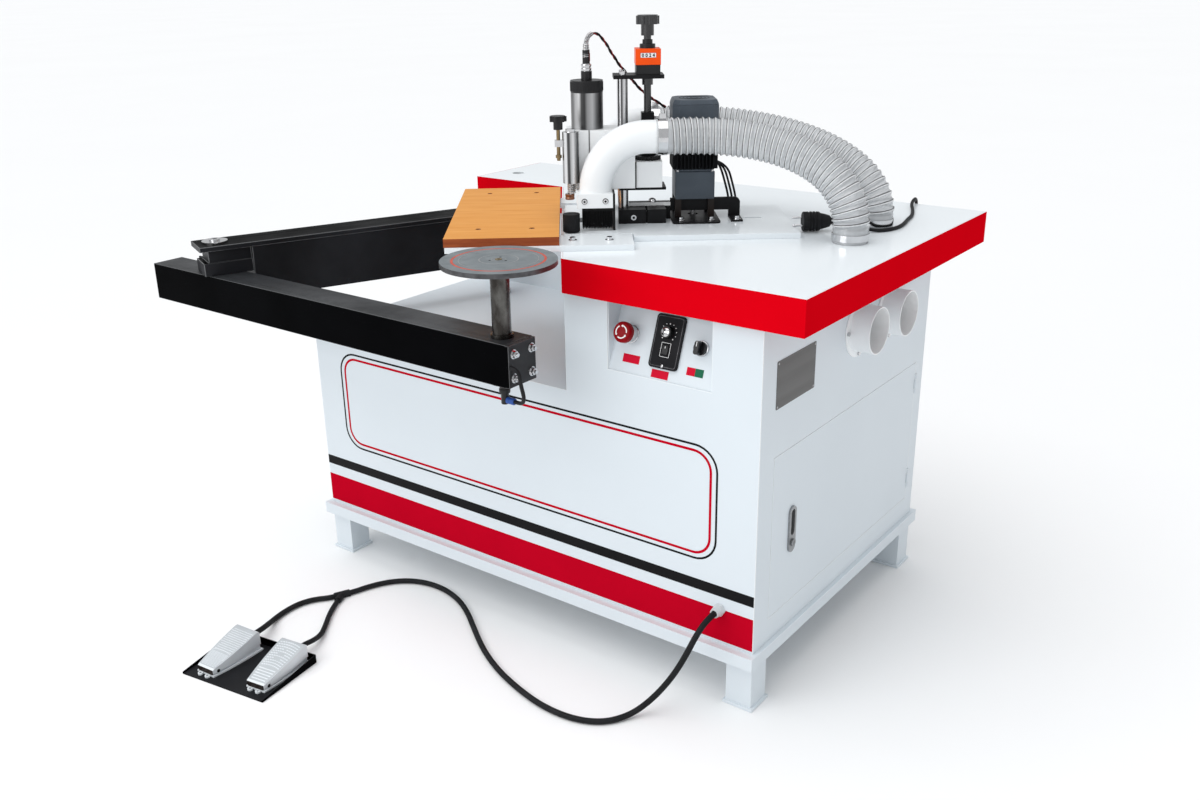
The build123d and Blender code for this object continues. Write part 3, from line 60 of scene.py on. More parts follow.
# Frames: each takes local millimetres to the machine's metres
def axes(origin, x_dir, y_dir, z_dir):
    matrix = Matrix.Translation(origin)
    for column, axis in enumerate((x_dir, y_dir, z_dir)):
        for row in range(3):
            matrix[row][column] = axis[row] * 0.001
    return matrix


def turned(x, y, degrees):
    turn = Matrix.Rotation(math.radians(degrees), 4, "Z")
    return Matrix.Translation((x, y, 0)) @ turn @ Matrix.Scale(0.001, 4)


LEAN = math.radians(20.4)
HEAD_DEGREES = 38.24
DISC_PLACE = (0.1565, -0.583)
PART = Matrix.Scale(0.001, 4)
HEAD = turned(0.1745, -0.417, HEAD_DEGREES)
ARM = turned(-0.7505, -0.576, math.degrees(math.atan2(-7, 907)))
DISC = turned(*DISC_PLACE, 0)
PANEL_UP = (0, math.sin(LEAN), math.cos(LEAN))
PANEL_OUT = (0, -math.cos(LEAN), math.sin(LEAN))
PANEL = axes((0.401, -0.4, 0.682), (1, 0, 0), PANEL_UP, PANEL_OUT)
FRONT = axes((0, -0.402, 0), (1, 0, 0), (0, 0, 1), (0, -1, 0))
RIGHT = axes((0.6335, 0, 0), (0, 1, 0), (0, 0, 1), (1, 0, 0))
UPRIGHT = HEAD @ axes((0, 0, 0), (1000, 0, 0), (0, 0, 1000), (0, -1000, 0))
PEDAL_LEFT = turned(-0.405, -0.982, 5.0)
PEDAL_RIGHT = turned(-0.267, -0.955, 8.8)
SIDEWAYS = Matrix.Rotation(math.radians(90), 4, "Y")

# Upright axes in the head's frame, and the emergency stop's and the speed knob's on the panel
COLUMN = (140, 290)
ROLLER = (23, 187)
SPINDLE = (62.8, 310)
HEIGHT_SCREW = (195, 310)
TRACER = (25, 246)
FEED_MOTOR = (300, 338)
ESTOP = (-84, 78)
SPEED_KNOB = (5, 95)

# Low and high side of a film stuck on a face
DECAL = (0.05, 0.35)

# Camera at the photograph's place
camera = bpy.data.objects.new("camera", bpy.data.cameras.new("camera"))
scene.collection.objects.link(camera)
camera.data.sensor_width = 36
camera.data.lens = 34.7037
camera.data.clip_end = 200
camera.matrix_world = Matrix(
    (
        (0.80173, -0.20047, 0.56306, 1.60442),
        (0.59750, 0.29225, -0.74671, -2.18978),
        (-0.01486, 0.93509, 0.35409, 1.45623),
        (0, 0, 0, 1),
    )
)
scene.camera = camera


# Materials
def put(node, **values):
    """Sets or links a node's inputs; an underscore stands for a space in an input's name."""
    for name, value in values.items():
        socket = node.inputs[name.replace("_", " ")]
        if isinstance(value, bpy.types.NodeSocket):
            node.id_data.links.new(value, socket)
        else:
            socket.default_value = value
    return node


def coordinates(tree, stretch=(1, 1, 1), turn=0.0, move=(0, 0, 0)):
    """Object coordinates from a point, turned about Z, then stretched."""
    place = tree.nodes.new("ShaderNodeTexCoord").outputs["Object"]
    mapping = tree.nodes.new("ShaderNodeMapping")
    mapping.vector_type = "TEXTURE"
    put(mapping, Vector=place, Location=move, Rotation=(0, 0, turn), Scale=[1 / share for share in stretch])
    return mapping.outputs["Vector"]


def noise(tree, vector, scale, detail=4.0, rough=0.55):
    node = tree.nodes.new("ShaderNodeTexNoise")
    return put(node, Vector=vector, Scale=scale, Detail=detail, Roughness=rough).outputs["Fac"]


def span(tree, value, low, high, start=0.3, end=0.7):
    node = tree.nodes.new("ShaderNodeMapRange")
    put(node, Value=value, From_Min=start, From_Max=end, To_Min=low, To_Max=high)
    return node.outputs["Result"]


def mixed(tree, factor, first, second):
    node = tree.nodes.new("ShaderNodeMix")
    node.data_type = "RGBA"
    for index, value in ((0, factor), (6, first), (7, second)):
        if isinstance(value, tuple):
            node.inputs[index].default_value = (*value, 1)
        else:
            tree.links.new(value, node.inputs[index])
    return node.outputs[2]


def bumped(tree, shader, height, strength, distance):
    node = put(tree.nodes.new("ShaderNodeBump"), Height=height, Strength=strength, Distance=distance)
    put(shader, Normal=node.outputs["Normal"])


def fresh(name, shown):
    """A new material with its node tree and its shader."""
    made = bpy.data.materials.new(name)
    made.use_nodes = True
    made.diffuse_color = (*shown, 1)
    return made, made.node_tree, made.node_tree.nodes["Principled BSDF"]


def surface(name, colour, rough, vary, scale, shine=0.5, metal=0.0, stretch=(1, 1, 1), swing=0.05, grain=0.0,
            grain_scale=700, alpha=1.0):
    """A paint, plastic or metal with a fine grain, whose colour and gloss vary in clouds of some scale."""
    made, tree, shader = fresh(name, colour)
    vector = coordinates(tree, stretch)
    cloud = noise(tree, vector, scale)
    dark = tuple(max(0.0, c * (1 - vary)) for c in colour)
    light = tuple(min(1.0, c * (1 + vary)) for c in colour)
    tone = mixed(tree, span(tree, cloud, 0, 1), dark, light)
    gloss = span(tree, cloud, rough + swing, max(0.02, rough - swing))
    put(shader, Base_Color=tone, Roughness=gloss, Metallic=metal, Specular_IOR_Level=shine, Alpha=alpha)
    if grain:
        bumped(tree, shader, noise(tree, vector, grain_scale, 2.0), grain, 0.0004)
    return made


white = surface("white_enamel", (0.695, 0.755, 0.80), 0.35, 0.012, 3, 0.25)
white_table = surface("white_table", (0.82, 0.865, 0.895), 0.20, 0.012, 3, 0.22)
# Lighter white for rounded edges: painted highlight
white_painted_highlight = surface("white_painted_highlight", (0.92, 0.945, 0.96), 0.20, 0.012, 3, 0.6)
red = surface("red_enamel", (0.66, 0.0008, 0.007), 0.42, 0.03, 4, 0.0)
red_vinyl = surface("red_vinyl", (0.50, 0.002, 0.016), 0.45, 0.04, 6, 0.0)
black_vinyl = surface("black_vinyl", (0.008, 0.008, 0.009), 0.40, 0.15, 6, 0.06)
green_vinyl = surface("green_vinyl", (0.012, 0.13, 0.065), 0.45, 0.06, 30, 0.1)
label_red = surface("label_red", (0.62, 0.006, 0.030), 0.45, 0.04, 30, 0.05)
label_white = surface("label_white", (0.85, 0.85, 0.85), 0.4, 0.03, 30)
black_paint = surface("black_enamel", (0.0012, 0.0013, 0.0017), 0.38, 0.35, 7, 0.01, swing=0.08, grain=0.05,
                      grain_scale=520)
# A lighter copy of the black paint for the forearm's top and outer end: painted light
black_painted_lit_top = surface("black_painted_lit_top", (0.028, 0.030, 0.033), 0.42, 0.30, 9, 0.22, swing=0.10, grain=0.20,
                    grain_scale=640)
# A lighter, cloudy copy of the black paint standing for soft reflections: painted reflection
black_painted_reflection = surface("black_painted_reflection", (0.0100, 0.0104, 0.0124), 0.42, 0.45, 5, 0.12, swing=0.12, grain=0.05,
                      grain_scale=520)
# Grey-black for rounded edges of black parts: painted highlight
black_painted_highlight = surface("black_painted_highlight", (0.05, 0.052, 0.056), 0.22, 0.30, 7, 0.9)
black_oxide = surface("blackened_steel", (0.010, 0.010, 0.011), 0.40, 0.30, 18, 0.12, grain=0.10,
                      grain_scale=900)
post_brown = surface("post_brown", (0.014, 0.008, 0.006), 0.36, 0.40, 30, 0.25, grain=0.2, grain_scale=300)
motor_grey = surface("motor_slate", (0.076, 0.092, 0.112), 0.45, 0.10, 22, 0.15, grain=0.15, grain_scale=800)
motor_black = surface("motor_black", (0.007, 0.0075, 0.009), 0.46, 0.20, 22, 0.06, grain=0.15,
                      grain_scale=800)
plastic_black = surface("moulded_black", (0.006, 0.006, 0.007), 0.34, 0.25, 26, 0.35, grain=0.10,
                        grain_scale=900)
star_black = surface("star_black", (0.014, 0.014, 0.015), 0.20, 0.20, 26, 0.7)
controller_black = surface("controller_black", (0.010, 0.010, 0.012), 0.45, 0.20, 26, 0.10)
plastic_white = surface("pipe_white", (0.88, 0.905, 0.92), 0.35, 0.012, 6, 0.3)
# Brighter white for the port bores, standing for the light inside them: painted light
bore_painted_light = surface("bore_painted_light", (0.95, 0.962, 0.97), 0.36, 0.012, 6, 0.3)
plastic_grey = surface("gland_grey", (0.60, 0.63, 0.65), 0.40, 0.04, 40, 0.3)
plastic_red = surface("mushroom_red", (0.24, 0.002, 0.006), 0.21, 0.10, 40, 0.08)
plastic_blue = surface("collar_blue", (0.03, 0.09, 0.34), 0.35, 0.10, 60, 0.2)
orange = surface("indicator_orange", (0.90, 0.085, 0.006), 0.35, 0.04, 40, 0.12)
seal_red = surface("seal_red", (0.52, 0.075, 0.045), 0.45, 0.10, 60, 0.2)
rubber = surface("black_rubber", (0.012, 0.0125, 0.014), 0.55, 0.25, 40, 0.15, grain=0.2, grain_scale=900)
cable_red = surface("cable_red", (0.25, 0.006, 0.008), 0.40, 0.10, 60, 0.2)
fibre = surface("brush_fibre", (0.006, 0.006, 0.0065), 0.40, 0.50, 300, 0.12)
copper = surface("copper", (0.26, 0.13, 0.085), 0.34, 0.20, 60, metal=1.0)
bronze = surface("bronze", (0.26, 0.19, 0.10), 0.38, 0.20, 80, metal=1.0)
chrome = surface("polished_steel", (0.62, 0.62, 0.63), 0.12, 0.08, 40, metal=1.0)
steel = surface("machined_steel", (0.44, 0.445, 0.45), 0.34, 0.06, 30, metal=1.0)
dark_steel = surface("dark_steel", (0.10, 0.10, 0.105), 0.36, 0.30, 60, metal=1.0)
aluminium = surface("milled_aluminium", (0.93, 0.945, 0.955), 0.34, 0.02, 6, metal=0.2, swing=0.03)
# Near-white for the rail's metal strip, standing for its bright reflection: painted reflection
strip_painted_reflection = surface("rail_strip_painted_reflection", (0.95, 0.96, 0.97), 0.36, 0.05, 30)
zinc = surface("cast_zinc", (0.30, 0.31, 0.32), 0.36, 0.10, 60, metal=0.8, grain=0.08)
plate_metal = surface("plate_metal", (0.125, 0.124, 0.122), 0.42, 0.04, 50, 0.2, metal=0.2,
                      stretch=(1, 0.04, 1), swing=0.06)
casting = surface("pedal_casting", (0.70, 0.735, 0.765), 0.42, 0.03, 26, 0.2, grain=0.12, grain_scale=620)
# Darker grey for the pedals' slope under the treads: painted shade
casting_painted_shade = surface("pedal_painted_shade", (0.47, 0.50, 0.525), 0.5, 0.05, 26, 0.15, grain=0.12, grain_scale=620)
duct_metal = surface("duct_metal", (0.55, 0.56, 0.57), 0.35, 0.12, 25, metal=1.0)
clear_wall = surface("clear_hose", (0.72, 0.74, 0.76), 0.07, 0.05, 30, 1.0, swing=0.03, alpha=0.40)
# Bright tube along each rib's crest: painted highlight
rib_painted_highlight = surface("rib_painted_highlight", (0.95, 0.96, 0.97), 0.12, 0.03, 30, 1.0, swing=0.04, alpha=0.75)
wire = surface("spiral_wire", (0.025, 0.025, 0.027), 0.36, 0.15, 80, 0.3)


def wood_material(name, light, dark, ring_scale):
    """Streaks and growth bands along the board."""
    made, tree, shader = fresh(name, light)
    turn = math.radians(HEAD_DEGREES)
    streaks = noise(tree, coordinates(tree, (1.2, 14, 14), turn), 6.0, 6.0, 0.62)
    band = tree.nodes.new("ShaderNodeTexWave")
    band.bands_direction = "Y"
    vector = coordinates(tree, (0.06, 1, 1), turn)
    put(band, Vector=vector, Scale=ring_scale, Distortion=5.0, Detail=3.0, Detail_Scale=1.5)
    tone = mixed(tree, span(tree, streaks, 0, 1), dark, light)
    tone = mixed(tree, span(tree, band.outputs["Fac"], 0.0, 0.25, 0, 1), tone, dark)
    put(shader, Base_Color=tone, Roughness=span(tree, streaks, 0.42, 0.28), Specular_IOR_Level=0.05)
    bumped(tree, shader, streaks, 0.06, 0.0004)
    return made


wood_face = wood_material("board_face", (0.75, 0.335, 0.060), (0.66, 0.270, 0.045), 5.0)
wood_edge = wood_material("board_edge", (0.40, 0.105, 0.035), (0.16, 0.032, 0.014), 40.0)


def disc_material():
    """Turned face with fine rings about the disc's axis."""
    made, tree, shader = fresh("disc_face", (0.16, 0.16, 0.165))
    vector = coordinates(tree, move=(*DISC_PLACE, 0))
    rings = tree.nodes.new("ShaderNodeTexWave")
    rings.wave_type = "RINGS"
    rings.rings_direction = "Z"
    put(rings, Vector=vector, Scale=160, Distortion=0.4)
    cloud = noise(tree, vector, 30)
    tone = mixed(tree, span(tree, cloud, 0, 1), (0.165, 0.190, 0.205), (0.215, 0.245, 0.262))
    put(shader, Base_Color=tone, Roughness=span(tree, cloud, 0.50, 0.34), Metallic=0.45)
    bumped(tree, shader, rings.outputs["Fac"], 0.25, 0.0003)
    return made


def film_material():
    """A mottled post under wrinkled packing film."""
    made, tree, shader = fresh("filmed_post", (0.55, 0.53, 0.5))
    vector = coordinates(tree, (1, 1, 0.45))
    wrinkle = noise(tree, vector, 90, 6.0, 0.7)
    patch = span(tree, noise(tree, vector, 26, 3.0), 0, 1, 0.4, 0.6)
    tone = mixed(tree, patch, (0.026, 0.022, 0.019), (0.12, 0.117, 0.11))
    gloss = span(tree, wrinkle, 0.10, 0.45)
    put(shader, Base_Color=tone, Roughness=gloss, Metallic=0.9, Coat_Weight=0.25, Coat_Roughness=0.12)
    bumped(tree, shader, wrinkle, 0.45, 0.002)
    return made


def banded(name, spot, bands, rough):
    """Polished round steel with a painted reflection: dark and bright bands of a studio painted about an
    upright axis.
    """
    made, tree, shader = fresh(name, (0.5, 0.5, 0.5))
    sweep = tree.nodes.new("ShaderNodeTexGradient")
    sweep.gradient_type = "RADIAL"
    put(sweep, Vector=coordinates(tree, turn=math.radians(HEAD_DEGREES), move=HEAD @ Vector((*spot, 0))))
    ramp = put(tree.nodes.new("ShaderNodeValToRGB"), Fac=sweep.outputs["Fac"])
    marks = ramp.color_ramp.elements
    while len(marks) < len(bands):
        marks.new(0.5)
    for mark, (place, tone) in zip(marks, bands):
        mark.position = place
        mark.color = (tone, tone, tone * 1.01, 1)
    cloud = noise(tree, coordinates(tree, (1, 1, 12)), 40)
    gloss = span(tree, cloud, rough + 0.04, rough - 0.04)
    put(shader, Base_Color=ramp.outputs["Color"], Roughness=gloss, Metallic=1.0)
    return made


# Places round the axis, as shares of a turn, with the tones of the painted reflection
REFLECTION_BANDS = (
    (0.0, 0.22), (0.085, 0.30), (0.12, 0.75), (0.165, 0.80), (0.19, 0.10), (0.225, 0.07), (0.25, 0.42),
    (0.30, 0.70), (0.345, 0.28), (0.40, 0.10), (0.5, 0.18), (0.62, 0.6), (0.75, 0.35), (0.88, 0.5),
    (1.0, 0.22),
)
# Painted reflections for the spindle, darker, and for the tracer and the columns
spindle_painted_reflection = banded("spindle_painted_reflection", SPINDLE, [(place, tone * 0.68) for place, tone in REFLECTION_BANDS], 0.38)
tracer_painted_reflection = banded("tracer_painted_reflection", TRACER, REFLECTION_BANDS, 0.16)
column_painted_reflection = banded("column_painted_reflection", COLUMN, REFLECTION_BANDS, 0.22)
disc_face = disc_material()
filmed = film_material()


# Meshes
def rounded(x0, x1, y0, y1, radius, steps=8):
    """Outline of a rectangle with round corners."""
    points = []
    for cx, cy, first in ((x1, y1, 0), (x0, y1, 90), (x0, y0, 180), (x1, y0, 270)):
        mx = cx + (radius if cx == x0 else -radius)
        my = cy + (radius if cy == y0 else -radius)
        for step in range(steps + 1):
            angle = math.radians(first + 90 * step / steps)
            points.append((mx + radius * math.cos(angle), my + radius * math.sin(angle)))
    return points


def circle(x, y, radius, count=32, first=0.0):
    turns = [first + math.tau * k / count for k in range(count)]
    return [(x + radius * math.cos(turn), y + radius * math.sin(turn)) for turn in turns]


def helix(spot, start, end, low, high, step, count):
    """A spring's line about an upright axis; its radius goes from start to end."""
    points = []
    for k in range(count + 1):
        reach = start + (end - start) * k / count
        x, y = spot[0] + reach * math.cos(k * step), spot[1] + reach * math.sin(k * step)
        points.append((x, y, low + (high - low) * k / count))
    return points


def heading(line, index):
    return (line[min(index + 1, len(line) - 1)] - line[max(index - 1, 0)]).normalized()


def carry(side, ahead):
    """The side of a line, carried on to its next direction with the least turn."""
    side = ahead.orthogonal() if side is None else side
    return (side - ahead * side.dot(ahead)).normalized()


def outward(side, ahead, angle):
    return side * math.cos(angle) + ahead.cross(side) * math.sin(angle)


class Shape:
    """Solids gathered into one mesh, in local millimetres; each form gives the shape back."""

    def __init__(self):
        self.verts = []
        self.faces = []

    def add(self, verts, faces):
        base = len(self.verts)
        self.verts.extend(Vector(v) for v in verts)
        self.faces.extend([base + k for k in face] for face in faces)
        return self

    def plate(self, outline, low, high, shrink=1.0):
        """An upright prism; its top is drawn in by shrink about the outline's middle."""
        count = len(outline)
        mx = sum(p[0] for p in outline) / count
        my = sum(p[1] for p in outline) / count
        verts = [(x, y, low) for x, y in outline]
        verts += [(mx + (x - mx) * shrink, my + (y - my) * shrink, high) for x, y in outline]
        faces = [list(range(count))[::-1], list(range(count, 2 * count))]
        faces += [[k, (k + 1) % count, count + (k + 1) % count, count + k] for k in range(count)]
        return self.add(verts, faces)

    def box(self, x0, x1, y0, y1, z0, z1):
        return self.plate([(x0, y0), (x1, y0), (x1, y1), (x0, y1)], z0, z1)

    def rod(self, x, y, low, high, radius, count=32):
        return self.plate(circle(x, y, radius, count), low, high)

    def ring(self, outer, inner, low, high):
        count = len(outer)
        verts = [(x, y, z) for z in (low, high) for line in (outer, inner) for x, y in line]
        faces = []
        for k in range(count):
            n = (k + 1) % count
            faces.append([k, n, 2 * count + n, 2 * count + k])
            faces.append([count + n, count + k, 3 * count + k, 3 * count + n])
            faces.append([2 * count + k, 2 * count + n, 3 * count + n, 3 * count + k])
            faces.append([count + k, count + n, n, k])
        return self.add(verts, faces)

    def turn(self, x, y, profile, count=40):
        """A turned solid about an upright axis; the profile runs from pole to pole."""
        verts, rows = [], []
        for radius, z in profile:
            if radius < 1e-6:
                rows.append([len(verts)])
                verts.append((x, y, z))
            else:
                rows.append(list(range(len(verts), len(verts) + count)))
                verts += [(px, py, z) for px, py in circle(x, y, radius, count)]
        faces = []
        for low, high in zip(rows, rows[1:]):
            for k in range(count):
                n = (k + 1) % count
                face = [low[k % len(low)], low[n % len(low)], high[n % len(high)], high[k % len(high)]]
                faces.append(list(dict.fromkeys(face)))
        return self.add(verts, [f for f in faces if len(f) > 2])

    def tube(self, points, radius, sides=10):
        """A tube on a line of points; radius is a number or a function of the index and the turn."""
        points = [Vector(p) for p in points]
        verts, faces = [], []
        side = None
        for index, point in enumerate(points):
            along = heading(points, index)
            side = carry(side, along)
            for k in range(sides):
                share = k / sides
                reach = radius(index, share) if callable(radius) else radius
                verts.append(point + outward(side, along, math.tau * share) * reach)
        for index in range(len(points) - 1):
            for k in range(sides):
                n = (k + 1) % sides
                low, high = index * sides, (index + 1) * sides
                faces.append([low + k, low + n, high + n, high + k])
        faces.append(list(range(sides))[::-1])
        faces.append(list(range((len(points) - 1) * sides, len(points) * sides)))
        return self.add(verts, faces)

    def make(self, name, matrix, material, slot, body="machine", bevel=0.0, angle=35):
        """The mesh as an object that rides on a body, with edges sharper than an angle kept."""
        mesh = bpy.data.meshes.new(name)
        mesh.from_pydata([matrix @ v for v in self.verts], [], self.faces)
        work = bmesh.new()
        work.from_mesh(mesh)
        bmesh.ops.recalc_face_normals(work, faces=work.faces)
        for face in work.faces:
            face.smooth = True
        for edge in work.edges:
            edge.smooth = not edge.is_manifold or edge.calc_face_angle(0) < math.radians(angle)
        work.to_mesh(mesh)
        work.free()
        mesh.materials.append(material)
        made = bpy.data.objects.new(name, mesh)
        scene.collection.objects.link(made)
        if bevel:
            soften(made, bevel)
        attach(made, body)
        return made


def soften(thing, width, material=-1):
    """Small round edges, with a material of their own if one is named."""
    edge = thing.modifiers.new("edges", "BEVEL")
    edge.width = width * 0.001
    edge.segments = 2
    edge.limit_method = "ANGLE"
    edge.angle_limit = math.radians(40)
    edge.harden_normals = True
    edge.material = material


def tubed(name, matrix, line, radius, sides, *looks):
    """A tube as a piece of its own."""
    return Shape().tube(line, radius, sides).make(name, matrix, *looks, angle=80)


def dress(node, material, bevel, *others, highlight_edges=None):
    """A CAD node's finish, with other materials where a test of a face's middle and normal holds."""
    thing = nodes[node]
    thing.data.materials.clear()
    thing.data.materials.append(material)
    for face in thing.data.polygons:
        face.material_index = 0
    for index, (other, test) in enumerate(others, 1):
        thing.data.materials.append(other)
        for face in thing.data.polygons:
            if test(face.center * 1000, face.normal):
                face.material_index = index
    if "custom_normal" in thing.data.attributes:
        thing.data.attributes.remove(thing.data.attributes["custom_normal"])
    for face in thing.data.polygons:
        face.use_smooth = True
    weld = thing.modifiers.new("weld", "WELD")
    weld.merge_threshold = 0.00002
    # A further material on the rounded edges paints a highlight there
    if highlight_edges:
        thing.data.materials.append(highlight_edges)
    soften(thing, bevel, len(thing.data.materials) - 1 if highlight_edges else -1)


# Cords on their routes
def from_corner(points):
    """Points measured in millimetres from the cabinet's near corner."""
    return [((x + 633.5) / 1000, (y - 402) / 1000, z / 1000) for x, y, z in points]


def route(name, points):
    """A smooth line that the points steer."""
    curve = bpy.data.curves.new(name, "CURVE")
    curve.dimensions = "3D"
    curve.resolution_u = 16
    spline = curve.splines.new("NURBS")
    spline.points.add(len(points) - 1)
    for spot, point in zip(spline.points, points):
        spot.co = (*point, 1)
    spline.order_u = 3
    spline.use_endpoint_u = True
    return bpy.data.objects.new(name, curve)


def line_of(thing):
    mesh = bpy.data.meshes.new_from_object(thing)
    points = [v.co.copy() for v in mesh.vertices]
    bpy.data.meshes.remove(mesh)
    return points


def paced(points, step):
    """The same line in even steps."""
    lengths = [0.0]
    for first, second in zip(points, points[1:]):
        lengths.append(lengths[-1] + (second - first).length)
    count = max(2, round(lengths[-1] / step))
    result, spot = [], 1
    for index in range(count + 1):
        target = lengths[-1] * index / count
        while spot < len(points) - 1 and lengths[spot] < target:
            spot += 1
        share = (target - lengths[spot - 1]) / max(1e-9, lengths[spot] - lengths[spot - 1])
        result.append(points[spot - 1].lerp(points[spot], min(1.0, share)))
    return result, lengths[-1]


def conduit(name, points, radius, node):
    """A corrugated conduit on its route."""
    line, length = paced(line_of(route(name + "_line", points)), 0.0011)

    def wall(index, share):
        return radius - (0.55 if index % 3 == 0 else 0.0)

    made = tubed(name, PART, [p * 1000 for p in line], wall, 12, rubber, "black_rubber")
    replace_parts(made, node)


pedal_points = from_corner([
    (-79, -12, 215), (-79, -48, 215), (-86, -77, 191), (-99, -98, 146), (-118, -112, 102), (-142, -123, 62),
    (-167, -137, 28), (-188, -164, 9), (-211, -204, 6.7), (-244, -229, 6.7), (-285, -242, 6.7),
    (-331, -245, 6.7), (-382, -240, 6.7), (-446, -224, 6.7), (-511, -202, 6.7), (-572, -173, 6.7),
    (-625, -141, 6.7), (-680, -102, 6.7), (-737, -61, 6.7), (-791, -31, 6.7), (-855, -12, 6.7),
    (-917, -13, 6.7), (-967, -33, 6.7), (-1003, -68, 6.7), (-1025, -112, 6.7), (-1036, -150, 6.7),
    (-1062, -205, 6.7), (-1086, -230, 6.7), (-1100, -260, 6.7), (-1103, -293, 6.7), (-1099, -328, 6.7),
    (-1088, -360, 9), (-1066, -391, 21),
])
pedal_points += [tuple(PEDAL_LEFT @ Vector((0, 161, 27))), tuple(PEDAL_LEFT @ Vector((0, 119, 27)))]
conduit("pedal_conduit", pedal_points, 6.5, "pedal_cord")

split = (Vector(pedal_points[25]) + Vector(pedal_points[26])) / 2
trunk = (Vector(pedal_points[26]) - Vector(pedal_points[25])).normalized()
aside = Matrix.Rotation(math.radians(52), 3, "Z") @ trunk
branch_points = [tuple(split + aside * 0.018), tuple(split + aside * 0.046)]
branch_points += from_corner([(-1005, -256, 6.7), (-975, -294, 6.7), (-948, -330, 8), (-930, -366, 18)])
branch_points += [tuple(PEDAL_RIGHT @ Vector((0, 149, 27))), tuple(PEDAL_RIGHT @ Vector((0, 119, 27)))]
conduit("pedal_branch_conduit", branch_points, 6.0, "pedal_branch")

mains_points = from_corner([
    (-420, 808, 500), (-420, 848, 500), (-418, 888, 476), (-412, 912, 420), (-402, 924, 350),
    (-382, 930, 280), (-346, 932, 218), (-294, 933, 176), (-232, 933, 164), (-176, 932, 188),
    (-138, 930, 244), (-116, 927, 322), (-105, 923, 412), (-99, 918, 512), (-96, 914, 622), (-94, 910, 736),
    (-92, 907, 834), (-88, 905, 915), (-76, 838, 911), (-50, 788, 904.3), (-30, 735, 904.2),
])
for u, v, z in ((780, 284, 904.2), (758, 236, 904.2), (736, 202, 904.2), (709, 180, 904.2), (680, 172, 904.6),
                (652, 180, 909), (624, 192, 917), (592, 200, 922)):
    mains_points.append(tuple(HEAD @ Vector((u, v, z))))

# Plug: a ribbed body turned about the head's U axis
PLUG = HEAD @ Matrix.Translation((0, 200, 922)) @ SIDEWAYS
plug = Shape().turn(0, 0, [
    (0, 525), (19.5, 525), (21.2, 526.5), (21.2, 537), (19.6, 538), (19.6, 540), (21.5, 541), (21.5, 544),
    (19.6, 545), (19.6, 547), (21.5, 548), (21.5, 551), (19.6, 552), (19.6, 554), (21.2, 555), (20.6, 561),
    (18, 563), (15.2, 575), (12.2, 584), (7.2, 588), (6.4, 592), (0, 592),
], 48)
plug_body = plug.make("plug_body", PLUG, rubber, "black_plastic")
pins = Shape()
for across, rise in ((6.1, 7.28), (-6.1, -7.28)):
    pins.turn(-rise, across, [(0, 503), (1.5, 503), (2.4, 504.5), (2.4, 525), (0, 525)], 16)
plug_pins = pins.make("plug_pins", PLUG, chrome, "polished_steel")
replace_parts(plug_body, "mains_plug")
mains = route("mains_lead", mains_points)
mains_length = paced(line_of(mains), 0.002)[1]
mains.data.bevel_depth = 0.004
mains.data.bevel_resolution = 4
mains.data.use_fill_caps = True
mains.data.materials.append(rubber)
scene.collection.objects.link(mains)
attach(mains, "machine")
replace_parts(mains, "mains_cord")

# Spindle cable: a black and a red lead twisted together
CABLE_STEP = 0.0015
CABLE_TWIST = 0.034
cable_points = [tuple(HEAD @ Vector((SPINDLE[0] + u, SPINDLE[1] + v, z))) for u, v, z in (
    (0, 0, 1282.5), (0, 0, 1299), (10, 11, 1314), (29, 30, 1311), (46, 42, 1288), (64, 50, 1257),
    (88, 54, 1226), (122, 52, 1188), (152, 48, 1166), (176, 44, 1152),
)]
cable_line = paced(line_of(route("cable_line", cable_points)), CABLE_STEP)[0]
for name, finish, radius, phase, offset in (
    ("spindle_lead_black", rubber, 2.6, 0.0, 0.0010),
    ("spindle_lead_red", cable_red, 1.3, math.pi, 0.0018),
):
    side, strand = None, []
    for index, point in enumerate(cable_line):
        ahead = heading(cable_line, index)
        side = carry(side, ahead)
        angle = math.tau * index * CABLE_STEP / CABLE_TWIST + phase
        strand.append((point + outward(side, ahead, angle) * offset) * 1000)
    lead = tubed(name, PART, strand, radius, 8, finish, "black_rubber", "carriage")
    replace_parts(lead, "spindle_cable")


# Ribbed hoses with their spiral wires
def hose_line(start, base, lead, tail, pull_start, pull_end):
    """A curve from the elbow's straight end to the upright end on the table."""
    first = Vector((start[0] + lead, start[1], start[2]))
    last = Vector((base[0], base[1], base[2] + tail))
    second = first + Vector((pull_start, 0, 0))
    third = last + Vector((0, 0, pull_end))
    points = [Vector(start)]
    for index in range(161):
        t = index / 160
        near = first * (1 - t) ** 3 + second * 3 * t * (1 - t) ** 2
        points.append(near + third * 3 * t * t * (1 - t) + last * t**3)
    points.append(Vector(base))
    return points


